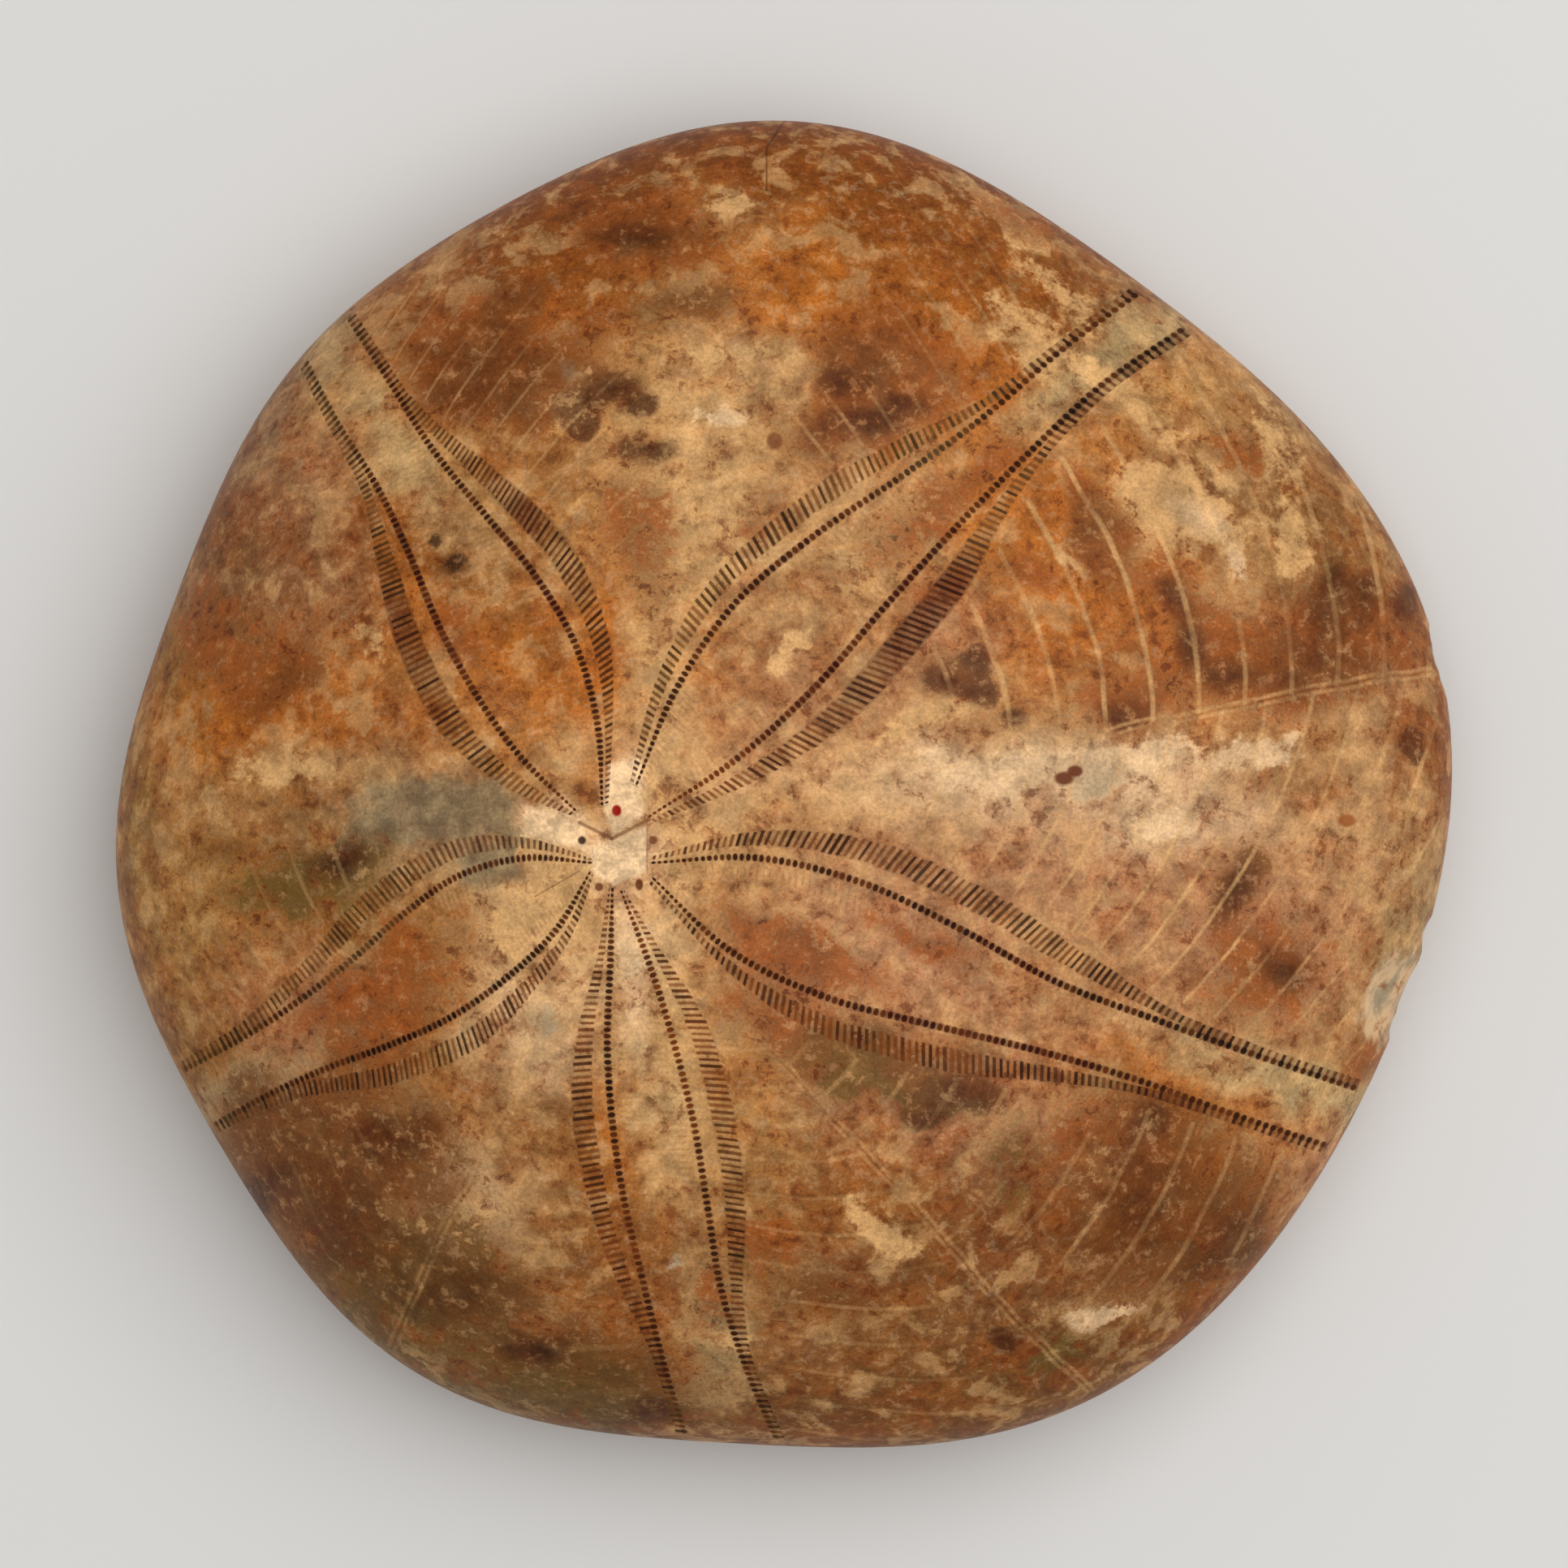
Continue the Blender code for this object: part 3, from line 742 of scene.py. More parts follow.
stains = [
    ("rust", 0.7, [(-8.5, 34.5, 5, 2.4, 0), (-19, 27, 6, 4, 0), (6, 28, 4, 3, 0), (7, 23.5, 6, 3, 20),
        (15, 13.6, 2.4, 1, -30), (20, 15.5, 2, 4, 10), (21.6, 5.6, 4, 1.6, 0), (28, 8, 4, 3, 0),
        (37, 10, 3, 4, 0), (30, -11.5, 4, 4, 0), (-0.5, -10, 4, 2, -30), (0, -15, 4, 3, -20),
        (-4.4, -32, 1.4, 3, 0), (-0.8, -28.5, 2, 2, 0), (-23, -11, 5, 2.6, 30), (-9, 16, 2.4, 4, 0),
        (8, 16, 4, 2, 30), (37, -17.6, 2, 1.8, 0), (21, -23, 5, 5, 0), (-24, -16, 5, 2, 25),
        (-36, 9, 3, 4, 0), (14, 36, 3, 1, -30), (24.5, 12, 2, 3, 20), (-31, 8, 4, 2, 30),
        (28, 20.6, 1.6, 1.3, 0), (29.8, 21, 0.5, 1.4, 0), (3, -11, 5, 1.2, -26), (9, -10, 5, 1, -22),
        (-28, -14, 3, 1.4, 30), (-20, 9, 3, 1.4, 123), (33, 8, 3, 4, 0), (-2, 16, 1.4, 1, 0),
        (9.6, 12, 3, 1, 45), (13, 20, 3, 1.2, 45)]),
    ("brown", 0.62, [(-17, 26, 5, 3, 0), (-30, -24, 6, 6, -40), (-23, -24, 5, 5, 0), (22, -24, 5, 3, 60),
        (26.5, -27, 4, 6, -30), (20, -28, 4, 4, 0), (3, -32, 4, 2, 0), (-32, -21, 4, 3, 0),
        (28, -6, 1.4, 3, -25), (5, 27, 3, 2.2, 0), (-12, -36, 8, 3, -10), (-9, 34, 3, 1.4, 0),
        (19.6, 16, 1.6, 2.4, 20), (-22, -31, 5, 3, 0), (8, -17.5, 6, 2, -12), (-31, 6, 3, 1.4, 20),
        (10.8, 6.6, 2.4, 1.4, -20), (32, 7, 3, 1, 8), (-6, 30, 5, 1.2, 10), (-17, 30, 3, 1, 30),
        (4, 22.4, 3, 1.4, 20), (6, 26, 2, 1.6, 0), (-35, -4, 3, 1, 0)]),
    ("moss", 0.6, [(-22.5, -32, 5, 3.4, 0), (-14, -38, 7, 2.4, -10), (-29, -5.5, 4, 1.8, 0),
        (-32, -7.5, 4, 2, -10), (17, -36, 4, 1.6, 15), (14, -24, 1.8, 2.6, 0), (4, -18, 3, 2, -10),
        (-26, -4, 2, 1, 0), (9, -20, 3, 1.4, 0)]),
    ("umber", 1.0, [(-11.4, 24.6, 2.8, 0.9, 24), (-9.2, 24, 1.2, 0.8, 0), (-12.6, 22.4, 1.2, 0.8, 60),
        (4, 25, 1.8, 1.0, 0), (7.6, 23.5, 1.4, 0.9, 20), (5, 22.6, 2.4, 0.9, 10), (11.9, 8.0, 1.0, 0.9, 0),
        (10.4, 6.1, 1.7, 0.6, -20), (14.5, 4.4, 0.9, 0.8, 0), (12.6, 6, 0.9, 0.6, -30),
        (24.4, 11.4, 0.7, 1.5, 30), (25.4, 8.2, 0.8, 1.4, 0), (27.8, 6.8, 1.4, 0.9, 0),
        (34.5, 12, 1.2, 2.0, 0), (36.8, 11.8, 0.8, 1.6, 0), (39.3, 11.7, 0.8, 1, 0),
        (39.7, 2.6, 0.9, 1.2, 0), (31.6, -11.7, 1.4, 1.0, 0), (-16, -35.6, 2, 1.0, 0),
        (13.8, -34.9, 1.1, 0.7, 0), (-27.6, -4.6, 1.8, 0.9, 20), (-8.4, -39.6, 1.8, 0.8, 0),
        (-8.6, 21, 1.6, 0.8, 0), (8.8, -20.8, 1.4, 0.6, 0), (28.3, -6.6, 0.7, 1.8, -25),
        (10.8, -19.3, 2.2, 1.0, 0), (-24.6, -22, 2, 1.2, 0), (23, -21, 2, 1.0, 60),
        (21.2, 4.4, 1.4, 0.9, 0), (-9.4, 34.4, 2, 0.7, 0), (-33, -26, 1.4, 2.4, -40)]),
    ("umber", 0.55, [(-28, -28, 3, 3, -40), (-21, -32, 4, 1.6, 0), (28, -29, 2, 4, -40),
        (22.4, -26, 2, 2.4, 0), (-19, 25, 3, 2, 30), (34, 9, 3, 3, 0)]),
    ("ink", 1.0, [(-20.7, 13.6, 1.1, 0.7, -10), (-21.8, 15.3, 0.5, 0.4, 0), (-15.2, -35.6, 0.9, 0.5, 0),
        (-28, -5, 0.8, 0.5, 0)]),
]


# Distance from an oval's middle in the oval's own measure: 1 on its rim
def ovalDistance(flat, middle, long, short, turn):
    c, s = np.cos(radians(turn)), np.sin(radians(turn))
    moved = flat - np.array(middle)
    return np.hypot(moved @ np.array([c, s]) / long, moved @ np.array([-s, c]) / short)


# One layer laid patch over patch. A patch covers most at its middle and nothing beyond 1.8 of
# its ellipse, with the points wavered first, so that no patch keeps its oval shape.
def layPatches(points, patches, colour, cover):
    flat = points[:, :2]
    waver = np.stack([softNoise(points, 5.0, 1) * 0.9 + softNoise(points, 1.6, 2) * 0.35,
                      softNoise(points, 5.0, 3) * 0.9 + softNoise(points, 1.6, 4) * 0.35], axis=1)
    upper = smoothStep(0.0, 8.0, points[:, 2])
    for name, strength, ovals in patches:
        tone = linear(stoneColours[name])
        for x, y, long, short, turn in ovals:
            wavered = flat + waver * min(1.0, 0.45 * min(long, short))
            out = ovalDistance(wavered, (x, y), long, short, turn)
            laid = (strength * upper * smoothStep(1.8, 0.1, out))[:, None]
            total = cover + laid * (1 - cover)
            colour = np.where(total > 1e-4, (colour * cover * (1 - laid) + tone * laid)
                              / np.maximum(total, 1e-4), colour)
            cover = total
    return colour, cover


# Plates beside the apex and a grey patch, with clean edges: corners in anticlockwise order, in
# mm, and how ragged the edge is. A point belongs as far as it is inside every side.
cleanPatches = [
    ("grey", 0.66, [(-27.5, -3.2), (-22, -3.6), (-16.4, -3.5), (-16.4, -0.7), (-20, 0.8), (-26, 0.2)], 0.6),
    ("grey", 0.7, [(-21.0, -3.4), (-19.4, -6.9), (-16.4, -5.8), (-16.4, -3.4)], 0.25),
    ("chalk", 0.75, [(-16.2, -3.1), (-12.2, -4.2), (-12.4, -2.6), (-16.2, -1.2)], 0.05),
    ("chalk", 0.9, [(-12.2, -4.0), (-11.8, -5.6), (-10.5, -6.3), (-10.5, -3.4)], 0.04),
    ("chalk", 0.9, [(-10.6, -3.4), (-10.5, -6.3), (-8.6, -5.5), (-8.5, -2.6)], 0.04),
    ("chalk", 0.85, [(-11.2, -1.5), (-10.6, -3.2), (-8.8, -2.0), (-8.9, 1.7), (-10.9, 1.2)], 0.04),
]


def layPlates(points, colour, cover):
    ragged = softNoise(points, 1.5, 21)
    for name, strength, corners, rough in cleanPatches:
        corners = np.array(corners)
        inside = np.full(len(points), 9.0)
        for start, end in zip(corners, np.roll(corners, -1, axis=0)):
            side = (end - start) / np.linalg.norm(end - start)
            moved = points[:, :2] - start
            inside = np.minimum(inside, side[0] * moved[:, 1] - side[1] * moved[:, 0])
        laid = strength * smoothStep(-0.08 - rough, 0.10 + rough, inside + rough * ragged)
        laid = laid * (points[:, 2] > 15)
        colour = np.where(laid[:, None] > 0.01, linear(stoneColours[name]), colour)
        cover = np.maximum(cover, laid[:, None])
    return colour, cover


# The layers at every point. The ground starts as tan drifting to sand and rose.
def paintStone(points):
    drift = smoothStep(-0.8, 0.8, softNoise(points, 9.0, 5))[:, None]
    shift = smoothStep(-0.4, 1.0, softNoise(points, 6.0, 6))[:, None]
    base = linear(stoneColours["tan"]) * (1 - 0.5 * drift) + linear(stoneColours["sand"]) * 0.5 * drift
    base = base * (1 - 0.4 * shift) + linear(stoneColours["rose"]) * 0.4 * shift
    for name, seed, most in (("rust", 7, 0.6), ("cream", 8, 0.6), ("moss", 9, 0.4)):
        broad = most * smoothStep(0.1, 1.0, softNoise(points, 16.0, seed))
        broad = broad * smoothStep(8.0, 2.0, points[:, 2])
        base = base + (linear(stoneColours[name]) - base) * broad[:, None]
    none = np.zeros((len(points), 1))
    return {
        "ground": layPatches(points, ground, base, none + 1),
        "pale": layPatches(points, pale, none + linear(stoneColours["cream"]), none),
        "stain": layPatches(points, stains, none + linear(stoneColours["brown"]), none),
        "plate": layPlates(points, none + linear(stoneColours["chalk"]), none)}


# Marks in mm, each with its strength, middle and half sizes. The openings beside the apex are real
# pits too.
openings = [
    ("red", 1.0, (-10.40, -1.65), (0.30, 0.36)), ("ink", 0.95, (-12.56, -3.50), (0.25, 0.25)),
    ("maroon", 0.8, (-8.13, -3.50), (0.26, 0.26)), ("maroon", 0.9, (-11.50, -6.40), (0.26, 0.26)),
    ("maroon", 0.95, (-9.00, -6.25), (0.24, 0.36)),
]
marks = [
    ("maroon", 0.75, (-0.6, 21.4), (0.5, 0.55)), ("maroon", 0.95, (17.45, 0.35), (0.6, 0.42)),
    ("maroon", 0.95, (18.15, 0.8), (0.5, 0.36)), ("rust", 0.8, (35.4, -2.3), (0.6, 0.4)),
]
# Thin lines: strength, start, end and width
thinLines = [
    ("brown", 0.7, (-12.7, -2.4), (-10.7, -3.4), 0.12), ("brown", 0.7, (-10.7, -3.4), (-8.4, -2.2), 0.12),
    ("brown", 0.35, (-8.5, -2.3), (-8.5, -5.5), 0.06), ("brown", 0.35, (-12.8, -7.2), (-9.8, -7.2), 0.06),
    ("brown", 0.5, (-15.5, -7.0), (-12.7, -5.4), 0.06), ("umber", 0.6, (0.1, 42.2), (-1.1, 40.2), 0.10),
    ("umber", 0.6, (-1.1, 40.2), (-1.1, 37.4), 0.07), ("umber", 0.3, (-7.6, 38.6), (-4.0, 39.4), 0.2),
]

# Chips along the edge, in mm: x, y, half length, half width, turn, depth
chips = [
    (38.6, -13.6, 3.2, 1.7, 74, 0.42), (38.5, -18.3, 1.6, 0.8, 66, 0.35), (41.9, 8.0, 2.8, 0.6, -76, 0.35),
    (41.0, -9.6, 1.0, 0.5, 80, 0.25),
]
openingDepth = 0.16


# Depth pressed in at each point: a chip is a flat cut, depth x (1 - d^2), with a rough floor;
# an opening beside the apex is a small bell-shaped pit. Also gives the rough share of each point.
def pressIn(points):
    depth = np.zeros(len(points))
    raw = np.zeros(len(points))
    ragged = softNoise(points, 0.9, 31)
    for x, y, long, short, turn, deep in chips:
        out = ovalDistance(points[:, :2], (x, y), long, short, turn)
        cut = np.clip(1 - out ** 2 * (1 + 0.25 * ragged), 0, 1) * smoothStep(3.0, 6.0, points[:, 2])
        depth += cut ** 0.7 * deep * (1 + 0.3 * ragged)
        raw = np.maximum(raw, smoothStep(0.0, 0.12, cut))
    for name, strength, middle, size in openings:
        out = np.hypot(*((points[:, :2] - middle) / size).T)
        depth += openingDepth * np.exp(-out ** 2) * (points[:, 2] > 20)
    return depth, raw


# Marks of the underside. Pairs of small tube foot pores run out from the mouth along each petal
# line: lowAlong is the distance along the nearest line, lowAcross the distance beside it. The
# mouth and the vent hold grey sediment.
phyllode = {"step": 0.85, "apart": 1.0, "first": 4.4, "last": 10.0, "size": 0.3}


def underMarks(points):
    lower = points[:, 2] < 8.0
    out = points[:, :2] - mouth
    ways = outlineAt(np.radians(stone["petalTurns"])) - mouth
    ways /= np.linalg.norm(ways, axis=1)[:, None]
    along, across = out @ ways.T, abs(out @ np.stack([-ways[:, 1], ways[:, 0]]))
    nearest = along.argmax(axis=1)[:, None]
    along = np.take_along_axis(along, nearest, axis=1)[:, 0]
    across = np.take_along_axis(across, nearest, axis=1)[:, 0]
    ragged = 0.3 * softNoise(points, 1.2, 23)
    vent = outlineAt(np.full(1, radians(stone["rearTurn"])))[0]
    vent = mouth + stone["ventShare"] * (vent - mouth)
    toVent = (points[:, :2] - vent) / (1.7, 2.6)
    sediment = np.maximum(smoothStep(3.7, 3.1, np.hypot(*out.T) + ragged),
                          smoothStep(1.1, 0.8, np.hypot(*toVent.T) + ragged / 2))
    return np.where(lower, along, 99.0), across, sediment * lower


painted = paintStone(points)
lowAlong, lowAcross, sediment = underMarks(points)
pressed, raw = pressIn(points)
points = points - (np.concatenate(mesh.depths) + pressed)[:, None] * normals
print("stains laid")

shell = bpy.data.meshes.new("sandDollarShell")
shell.from_pydata(points * toMetres, [], faces)
work = bmesh.new()
work.from_mesh(shell)
bmesh.ops.recalc_face_normals(work, faces=work.faces)
work.to_mesh(shell)
work.free()
shell.shade_smooth()
piece = bpy.data.objects.new("sandDollarShell", shell)
bpy.context.scene.collection.objects.link(piece)


def addLayer(name, values):
    values = np.asarray(values, np.float32)
    if values.ndim == 1:
        shell.attributes.new(name, "FLOAT", "POINT").data.foreach_set("value", values)
    else:
        shell.attributes.new(name, "FLOAT_COLOR", "POINT").data.foreach_set("color", values.ravel())


for name in attributeKinds:
    addLayer(name, np.concatenate(mesh.values[name]))
for name, values in (("rawStone", raw), ("lowAlong", lowAlong), ("lowAcross", lowAcross),
                     ("sediment", sediment)):
    addLayer(name, values)
for name, (colour, cover) in painted.items():
    addLayer(name, np.hstack([colour, cover]))

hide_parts("sand_dollar")
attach(piece, "root")


# Material

def feed(tree, socket, value):
    if isinstance(value, bpy.types.NodeSocket):
        tree.links.new(value, socket)
    else:
        socket.default_value = value


def calc(tree, operation, *values, clamp=False):
    made = tree.nodes.new("ShaderNodeMath")
    made.operation = operation
    made.use_clamp = clamp
    for socket, value in zip(made.inputs, values):
        feed(tree, socket, value)
    return made.outputs[0]


def times(tree, first, second):
    return calc(tree, "MULTIPLY", first, second)


# Distance of a repeating value from the middle of its step, 0 to 0.5
def fromMiddle(tree, value):
    return calc(tree, "ABSOLUTE", calc(tree, "SUBTRACT", calc(tree, "FRACT", value), 0.5))


# A chance value from 0 to 1, the same wherever the number given is the same
def roll(tree, number):
    made = tree.nodes.new("ShaderNodeTexWhiteNoise")
    made.noise_dimensions = "1D"
    feed(tree, made.inputs["W"], number)
    return made.outputs["Value"]


def vectorMath(tree, operation, first, second=None):
    made = tree.nodes.new("ShaderNodeVectorMath")
    made.operation = operation
    feed(tree, made.inputs[0], first)
    if second is not None:
        feed(tree, made.inputs[3 if operation == "SCALE" else 1], second)
    return made.outputs["Value" if operation in ("DOT_PRODUCT", "DISTANCE", "LENGTH") else "Vector"]


def blend(tree, amount, first, second, way="MIX"):
    made = tree.nodes.new("ShaderNodeMix")
    made.data_type = "RGBA"
    made.blend_type = way
    feed(tree, made.inputs[0], amount)
    feed(tree, made.inputs[6], first)
    feed(tree, made.inputs[7], second)
    return made.outputs[2]


def ramp(tree, value, low, high, toLow=0.0, toHigh=1.0):
    made = tree.nodes.new("ShaderNodeMapRange")
    made.interpolation_type = "SMOOTHSTEP"
    for socket, number in zip(made.inputs, (value, low, high, toLow, toHigh)):
        feed(tree, socket, number)
    return made.outputs[0]


def noise(tree, vector, size, detail=3.0, roughness=0.55, distortion=0.0):
    made = tree.nodes.new("ShaderNodeTexNoise")
    for name, value in (("Vector", vector), ("Scale", 1 / size), ("Detail", detail),
                        ("Roughness", roughness), ("Distortion", distortion)):
        feed(tree, made.inputs[name], value)
    return made.outputs["Fac"]


def attribute(tree, name, output="Fac"):
    made = tree.nodes.new("ShaderNodeAttribute")
    made.attribute_name = name
    return made.outputs[output]


def floats(*names):
    return [(name, "NodeSocketFloat") for name in names]


def vectors(*names):
    return [(name, "NodeSocketVector") for name in names]


def newGroup(name, inputs, outputs):
    tree = bpy.data.node_groups.new(name, "ShaderNodeTree")
    for label, kind in inputs:
        tree.interface.new_socket(label, in_out="INPUT", socket_type=kind)
    for label, kind in outputs:
        tree.interface.new_socket(label, in_out="OUTPUT", socket_type=kind)
    return tree, tree.nodes.new("NodeGroupInput").outputs, tree.nodes.new("NodeGroupOutput").inputs


def useGroup(tree, group, **values):
    made = tree.nodes.new("ShaderNodeGroup")
    made.node_tree = group
    for name, value in values.items():
        feed(tree, made.inputs[name], value)
    return made.outputs


# Pores: a repeating pattern along the row. A round pore is an ellipse in the phase and the
# place across; a slit is a bar in the phase, cut off at its ends.
def poreGroup():
    tree, given, out = newGroup("poreRows", floats("Phase", "Round", "Slit"),
                                floats("Rounds", "Slits", "Band", "Chain", "Chance"))
    number = calc(tree, "FLOOR", given["Phase"])
    dice = roll(tree, number)
    chance = roll(tree, calc(tree, "ADD", number, 0.5))
    width = calc(tree, "MULTIPLY_ADD", dice, 0.08, 0.175)
    away = fromMiddle(tree, given["Phase"])
    ratio = calc(tree, "DIVIDE", away, calc(tree, "ADD", width, 0.16))
    ellipse = calc(tree, "SQRT", calc(tree, "ADD", calc(tree, "POWER", ratio, 2.0),
                                      calc(tree, "POWER", given["Round"], 2.0)))
    bar = ramp(tree, calc(tree, "DIVIDE", away, width), 1.4, 0.75)
    reach = calc(tree, "MULTIPLY_ADD", dice, 0.2, 0.86)
    slit = calc(tree, "ABSOLUTE", given["Slit"])
    ends = ramp(tree, calc(tree, "DIVIDE", slit, reach), 1.12, 0.92)
    faint = calc(tree, "MULTIPLY_ADD", chance, -0.3, 1.0)
    feed(tree, out["Rounds"], ramp(tree, ellipse, 1.2, 0.75))
    feed(tree, out["Slits"], times(tree, times(tree, bar, ends), faint))
    feed(tree, out["Band"], ramp(tree, slit, 1.25, 0.95))
    feed(tree, out["Chain"], ramp(tree, calc(tree, "ABSOLUTE", given["Round"]), 1.2, 0.7))
    feed(tree, out["Chance"], chance)
    return tree


# Plates: pale edges at equal steps of the distance out, half a step later on the other side of
# the middle line, which is a pale double line. Fine lines run out from between the pores.
def plateGroup():
    tree, given, out = newGroup("plateSeams", floats("Along", "Across", "Waver", "Phase", "Step"),
                                floats("Seam", "Middle", "Tone", "Fine"))
    bent = calc(tree, "SUBTRACT", given["Waver"], 0.5)
    across = calc(tree, "MULTIPLY_ADD", bent, 0.5, given["Across"])
    side = calc(tree, "GREATER_THAN", across, 0.0)
    along = calc(tree, "MULTIPLY_ADD", bent, 0.35, given["Along"])
    steps = calc(tree, "MULTIPLY_ADD", side, 0.5, calc(tree, "DIVIDE", along, given["Step"]))
    beside = calc(tree, "ABSOLUTE", calc(tree, "SUBTRACT", calc(tree, "ABSOLUTE", across), 0.2))
    feed(tree, out["Seam"], ramp(tree, fromMiddle(tree, steps), 0.42, 0.48))
    feed(tree, out["Middle"], ramp(tree, beside, 0.2, 0.02))
    feed(tree, out["Tone"], roll(tree, calc(tree, "MULTIPLY_ADD", side, 77.0, calc(tree, "FLOOR", steps))))
    feed(tree, out["Fine"], ramp(tree, fromMiddle(tree, given["Phase"]), 0.2, 0.48))
    return tree


# Mottling at several sizes, from drifting haze to single grains: name, size in mm, detail, roughness
mottleSizes = [
    ("Haze", 7.0, 4.0, 0.55), ("Clouds", 2.6, 7.0, 0.62), ("Ragged", 1.7, 8.0, 0.68),
    ("Specks", 0.9, 6.0, 0.72), ("Grain", 0.2, 3.0, 0.6), ("Waver", 3.5, 0.5, 0.4)]


def mottleGroup():
    tree, given, out = newGroup("stoneMottle", vectors("Vector"), floats(*[row[0] for row in mottleSizes]))
    for number, (name, size, detail, roughness) in enumerate(mottleSizes):
        moved = vectorMath(tree, "ADD", given["Vector"], (17.0 * number, -9.0 * number, 5.0 * number))
        feed(tree, out[name], noise(tree, moved, size, detail, roughness, 0.3))
    return tree


# A soft cover made into a patch with a ragged edge
def raggedGroup():
    tree, given, out = newGroup("raggedPatch", floats("Cover", "Noise", "Amount", "Softness"), floats("Mask"))
    rough = times(tree, calc(tree, "SUBTRACT", given["Noise"], 0.5), given["Amount"])
    low = calc(tree, "SUBTRACT", 0.5, given["Softness"])
    high = calc(tree, "ADD", 0.5, given["Softness"])
    feed(tree, out["Mask"], ramp(tree, calc(tree, "ADD", given["Cover"], rough), low, high))
    return tree


# A small mark, seen from above: a spot of its own half sizes about a centre
def spotGroup():
    tree, given, out = newGroup("spotMark", vectors("Vector", "Centre", "Size"), floats("Mask"))
    moved = vectorMath(tree, "SUBTRACT", given["Vector"], given["Centre"])
    ratio = vectorMath(tree, "LENGTH", vectorMath(tree, "DIVIDE", moved, given["Size"]))
    feed(tree, out["Mask"], ramp(tree, ratio, 1.3, 0.7))
    return tree


# A thin line between two places, seen from above: the distance to the stretch between them
def lineGroup():
    tree, given, out = newGroup("lineMark", vectors("Vector", "Start", "End") + floats("Width"),
                                floats("Mask"))
    toPoint = vectorMath(tree, "SUBTRACT", given["Vector"], given["Start"])
    toEnd = vectorMath(tree, "SUBTRACT", given["End"], given["Start"])
    share = calc(tree, "DIVIDE", vectorMath(tree, "DOT_PRODUCT", toPoint, toEnd),
                 vectorMath(tree, "DOT_PRODUCT", toEnd, toEnd), clamp=True)
    away = vectorMath(tree, "DISTANCE", toPoint, vectorMath(tree, "SCALE", toEnd, share))
    feed(tree, out["Mask"], ramp(tree, calc(tree, "DIVIDE", away, given["Width"]), 1.4, 0.4))
    return tree


# Pores beside the mouth: an ellipse at every step along, at a fixed distance either side
def phyllodeGroup():
    tree, given, out = newGroup("mouthPores", floats("Along", "Across"), floats("Mask"))
    step, size, first, last = (phyllode[name] for name in ("step", "size", "first", "last"))
    phase = calc(tree, "FRACT", calc(tree, "DIVIDE", given["Along"], step))
    along = times(tree, calc(tree, "SUBTRACT", phase, 0.5), step / size)
    across = calc(tree, "DIVIDE", calc(tree, "SUBTRACT", given["Across"], phyllode["apart"]), size)
    away = calc(tree, "SQRT", calc(tree, "ADD", calc(tree, "POWER", along, 2.0),
                                   calc(tree, "POWER", across, 2.0)))
    begun = ramp(tree, given["Along"], first - 0.4, first)
    ended = ramp(tree, given["Along"], last, last - 2.0)
    feed(tree, out["Mask"], times(tree, ramp(tree, away, 1.1, 0.6), times(tree, begun, ended)))
    return tree


plateStep = 3.0     # mm from one plate's edge to the next


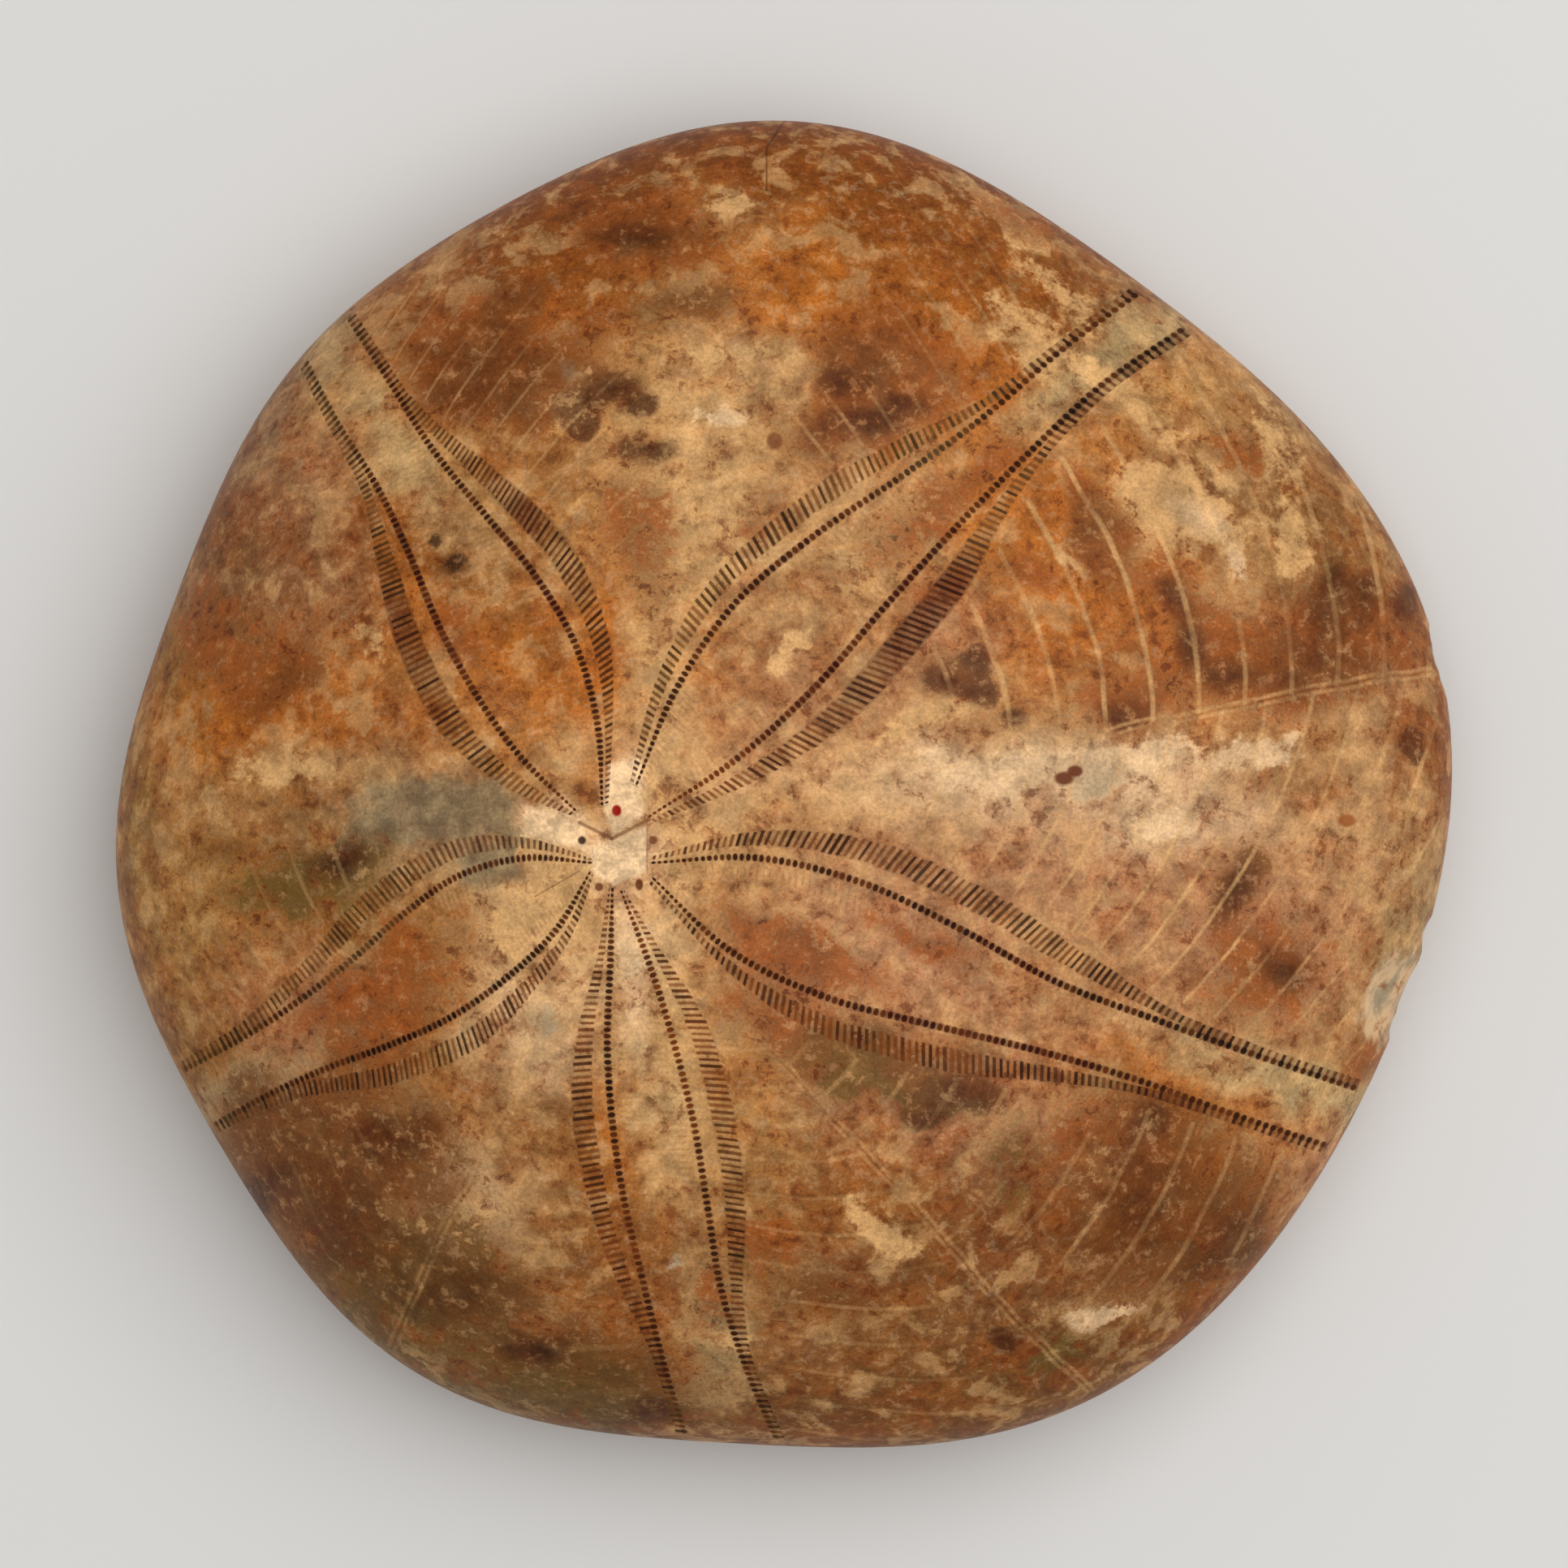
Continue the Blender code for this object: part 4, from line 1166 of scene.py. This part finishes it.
def stoneMaterial():
    material = bpy.data.materials.new("fossilStone")
    material.use_nodes = True
    tree = material.node_tree
    shader = tree.nodes["Principled BSDF"]
    coordinates = tree.nodes.new("ShaderNodeTexCoord")
    scaled = tree.nodes.new("ShaderNodeMapping")
    scaled.inputs["Scale"].default_value = (1000, 1000, 1000)
    tree.links.new(coordinates.outputs["Object"], scaled.inputs["Vector"])
    fromAbove = tree.nodes.new("ShaderNodeMapping")
    fromAbove.inputs["Scale"].default_value = (1000, 1000, 0)
    tree.links.new(coordinates.outputs["Object"], fromAbove.inputs["Vector"])

    def shade(name):
        return (*linear(stoneColours[name]), 1)

    def over(colour, mask, strength, name):
        tone = shade(name) if isinstance(name, str) else name
        return blend(tree, times(tree, mask, strength), colour, tone)

    mottle = useGroup(tree, mottleGroup(), Vector=scaled.outputs["Vector"])
    phase = attribute(tree, "porePhase")
    pores = useGroup(tree, poreGroup(), Phase=phase, Round=attribute(tree, "roundAcross"),
                     Slit=attribute(tree, "slitAcross"))
    plates = useGroup(tree, plateGroup(), Along=attribute(tree, "plateAlong"), Phase=phase,
                      Across=attribute(tree, "plateAcross"), Waver=mottle["Waver"], Step=plateStep)
    ragged = raggedGroup()

    # the ground, clouded light and dark
    stained = attribute(tree, "stain", "Alpha")
    colour = attribute(tree, "ground", "Color")
    colour = over(colour, ramp(tree, mottle["Haze"], 0.5, 0.66), 0.2, "amber")
    colour = over(colour, ramp(tree, mottle["Clouds"], 0.51, 0.6), 0.42, "cream")
    colour = over(colour, ramp(tree, mottle["Clouds"], 0.48, 0.4), 0.42, "rust")
    clusters = ramp(tree, mottle["Clouds"], 0.58, 0.42, 0.1, 0.6)
    clusters = calc(tree, "MULTIPLY_ADD", stained, 0.35, clusters)
    colour = over(colour, ramp(tree, mottle["Specks"], 0.47, 0.41), clusters, "maroon")
    colour = over(colour, ramp(tree, mottle["Specks"], 0.545, 0.6), 0.18, "ivory")

    # pale patches and dark stains, both with ragged edges
    mixed = calc(tree, "MULTIPLY_ADD", mottle["Clouds"], 0.3, times(tree, mottle["Ragged"], 0.35))
    mixed = calc(tree, "MULTIPLY_ADD", mottle["Specks"], 0.35, mixed)
    paleCover = attribute(tree, "pale", "Alpha")
    palePatch = useGroup(tree, ragged, Cover=paleCover, Noise=mixed, Amount=4.6, Softness=0.22)["Mask"]
    palePatch = times(tree, palePatch, ramp(tree, paleCover, 0.02, 0.3))
    colour = over(colour, palePatch, 0.8, attribute(tree, "pale", "Color"))
    darkPatch = useGroup(tree, ragged, Cover=stained, Noise=mixed, Amount=4.2, Softness=0.2)["Mask"]
    darkPatch = times(tree, darkPatch, ramp(tree, stained, 0.02, 0.3))
    darkPatch = times(tree, darkPatch, ramp(tree, mottle["Specks"], 0.62, 0.52, 0.5, 1.0))
    colour = over(colour, darkPatch, 0.85, attribute(tree, "stain", "Color"))
    blotches = ramp(tree, mottle["Ragged"], 0.56, 0.44, 1.04, 0.86)
    plateTone = blend(tree, 1.0, attribute(tree, "plate", "Color"), blotches, "MULTIPLY")
    colour = over(colour, attribute(tree, "plate", "Alpha"), 1.0, plateTone)

    # plates
    seams = attribute(tree, "seams")
    seamy = times(tree, seams, ramp(tree, mottle["Haze"], 0.4, 0.58, 0.25, 0.7))
    broken = times(tree, plates["Seam"], ramp(tree, mottle["Clouds"], 0.3, 0.6, 0.35, 1.0))
    colour = over(colour, times(tree, plates["Tone"], seams), 0.16, "brown")
    colour = over(colour, broken, seamy, "cream")
    middle = times(tree, plates["Middle"], attribute(tree, "midSeam"))
    colour = over(colour, middle, ramp(tree, mottle["Ragged"], 0.35, 0.6, 0.2, 0.75), "cream")
    fine = times(tree, plates["Fine"], attribute(tree, "fineLines"))
    colour = over(colour, fine, ramp(tree, mottle["Clouds"], 0.3, 0.7, 0.1, 0.5), "rust")

    # fine grain and patina over all of it
    grain = ramp(tree, mottle["Grain"], 0.3, 0.7, 0.84, 1.15)
    patina = ramp(tree, mottle["Ragged"], 0.3, 0.7, 0.7, 1.26)
    colour = blend(tree, 1.0, colour, times(tree, grain, patina), "MULTIPLY")

    # raw stone in the chips
    rawTone = blend(tree, ramp(tree, mottle["Clouds"], 0.42, 0.58), shade("slate"), shade("ivory"))
    rawTone = blend(tree, ramp(tree, mottle["Ragged"], 0.5, 0.36, 0.0, 0.8), rawTone, shade("rust"))
    colour = over(colour, attribute(tree, "rawStone"), 0.85, rawTone)

    # pores
    roundTone = attribute(tree, "roundTone", "Color")
    slitTone = attribute(tree, "slitTone", "Color")
    colour = over(colour, pores["Band"], attribute(tree, "slitTone", "Alpha"), slitTone)
    colour = over(colour, pores["Chain"], attribute(tree, "roundTone", "Alpha"), roundTone)
    uneven = calc(tree, "MULTIPLY_ADD", pores["Chance"], 0.3, mottle["Clouds"])
    uneven = ramp(tree, uneven, 0.6, 0.8, 0.0, 0.6)
    darker = calc(tree, "MULTIPLY_ADD", pores["Chance"], 0.2, mottle["Ragged"])
    darker = ramp(tree, darker, 0.62, 0.5, 0.0, 0.7)
    slitTone = over(over(slitTone, uneven, 0.8, "rust"), darker, 1.0, "ink")
    roundTone = over(over(roundTone, uneven, 0.5, "rust"), darker, 0.8, "ink")
    colour = over(colour, pores["Slits"], 0.96, slitTone)
    colour = over(colour, pores["Rounds"], 0.98, roundTone)

    # underside, with sediment in the openings, pores beside the mouth
    sedimentTone = blend(tree, ramp(tree, mottle["Ragged"], 0.42, 0.58), shade("moss"), shade("slate"))
    colour = over(colour, attribute(tree, "sediment"), 0.85, sedimentTone)
    low = useGroup(tree, phyllodeGroup(), Along=attribute(tree, "lowAlong"),
                   Across=attribute(tree, "lowAcross"))
    colour = over(colour, low["Mask"], 0.85, "umber")

    # marks of the upper side
    spotTree, lineTree = spotGroup(), lineGroup()
    flat = fromAbove.outputs["Vector"]
    split = tree.nodes.new("ShaderNodeSeparateXYZ")
    tree.links.new(scaled.outputs["Vector"], split.inputs["Vector"])
    upper = ramp(tree, split.outputs["Z"], 7.0, 10.0)
    for name, strength, middle, size in openings + marks:
        mask = useGroup(tree, spotTree, Vector=flat, Centre=(*middle, 0), Size=(*size, 1))["Mask"]
        colour = over(colour, times(tree, mask, upper), strength, name)
    for name, strength, start, end, width in thinLines:
        mask = useGroup(tree, lineTree, Vector=flat, Start=(*start, 0), End=(*end, 0), Width=width)["Mask"]
        colour = over(colour, times(tree, mask, upper), strength, name)
    tree.links.new(colour, shader.inputs["Base Color"])

    holes = calc(tree, "MAXIMUM", pores["Rounds"], pores["Slits"])
    rough = calc(tree, "MULTIPLY_ADD", mottle["Grain"], 0.2, 0.34)
    tree.links.new(calc(tree, "MULTIPLY_ADD", holes, 0.3, rough), shader.inputs["Roughness"])
    shader.inputs["Specular IOR Level"].default_value = 0.1

    holes = calc(tree, "MAXIMUM", holes, low["Mask"])
    relief = calc(tree, "MULTIPLY_ADD", mottle["Grain"], 0.15, times(tree, holes, -0.6))
    bump = tree.nodes.new("ShaderNodeBump")
    bump.inputs["Strength"].default_value = 0.35
    bump.inputs["Distance"].default_value = 0.0001
    tree.links.new(relief, bump.inputs["Height"])
    tree.links.new(bump.outputs["Normal"], shader.inputs["Normal"])
    return material


shell.materials.append(stoneMaterial())
print("stone: %d triangles" % len(shell.polygons))

# Floor, light and camera

bpy.ops.mesh.primitive_plane_add(size=2)
floor = bpy.context.object
floor.name = "floor"
floorMaterial = bpy.data.materials.new("paleFloor")
floorMaterial.use_nodes = True
floorMaterial.node_tree.nodes["Principled BSDF"].inputs["Base Color"].default_value = (0.75, 0.74, 0.72, 1)
floor.data.materials.append(floorMaterial)

studio = {
    "around": 0.42,                       # light from all round
    "keyPlace": (0.28, 0.16, 0.88),       # metres
    "keySize": 1.1,
    "keyPower": 6.6,
}
world = bpy.data.worlds.new("studio")
world.use_nodes = True
world.node_tree.nodes["Background"].inputs["Color"].default_value = (1, 1, 1, 1)
world.node_tree.nodes["Background"].inputs["Strength"].default_value = studio["around"]
bpy.context.scene.world = world
keyLight = bpy.data.lights.new("keyLight", "AREA")
keyLight.size = studio["keySize"]
keyLight.energy = studio["keyPower"]
lamp = bpy.data.objects.new("keyLight", keyLight)
lamp.location = studio["keyPlace"]
lamp.rotation_euler = Vector(studio["keyPlace"]).to_track_quat("Z", "Y").to_euler()
bpy.context.scene.collection.objects.link(lamp)

# The camera looks straight down. Its distance sets how much it takes in at the height it is aimed at.
view = {"lens": 300, "sensor": 36, "across": 0.0997, "aimHeight": 0.009}
camera = bpy.data.cameras.new("camera")
camera.lens = view["lens"]
camera.sensor_width = view["sensor"]
eye = bpy.data.objects.new("camera", camera)
eye.location = (0, 0, view["across"] * view["lens"] / view["sensor"] + view["aimHeight"])
bpy.context.scene.collection.objects.link(eye)
bpy.context.scene.camera = eye
bpy.context.scene.view_settings.view_transform = "Standard"
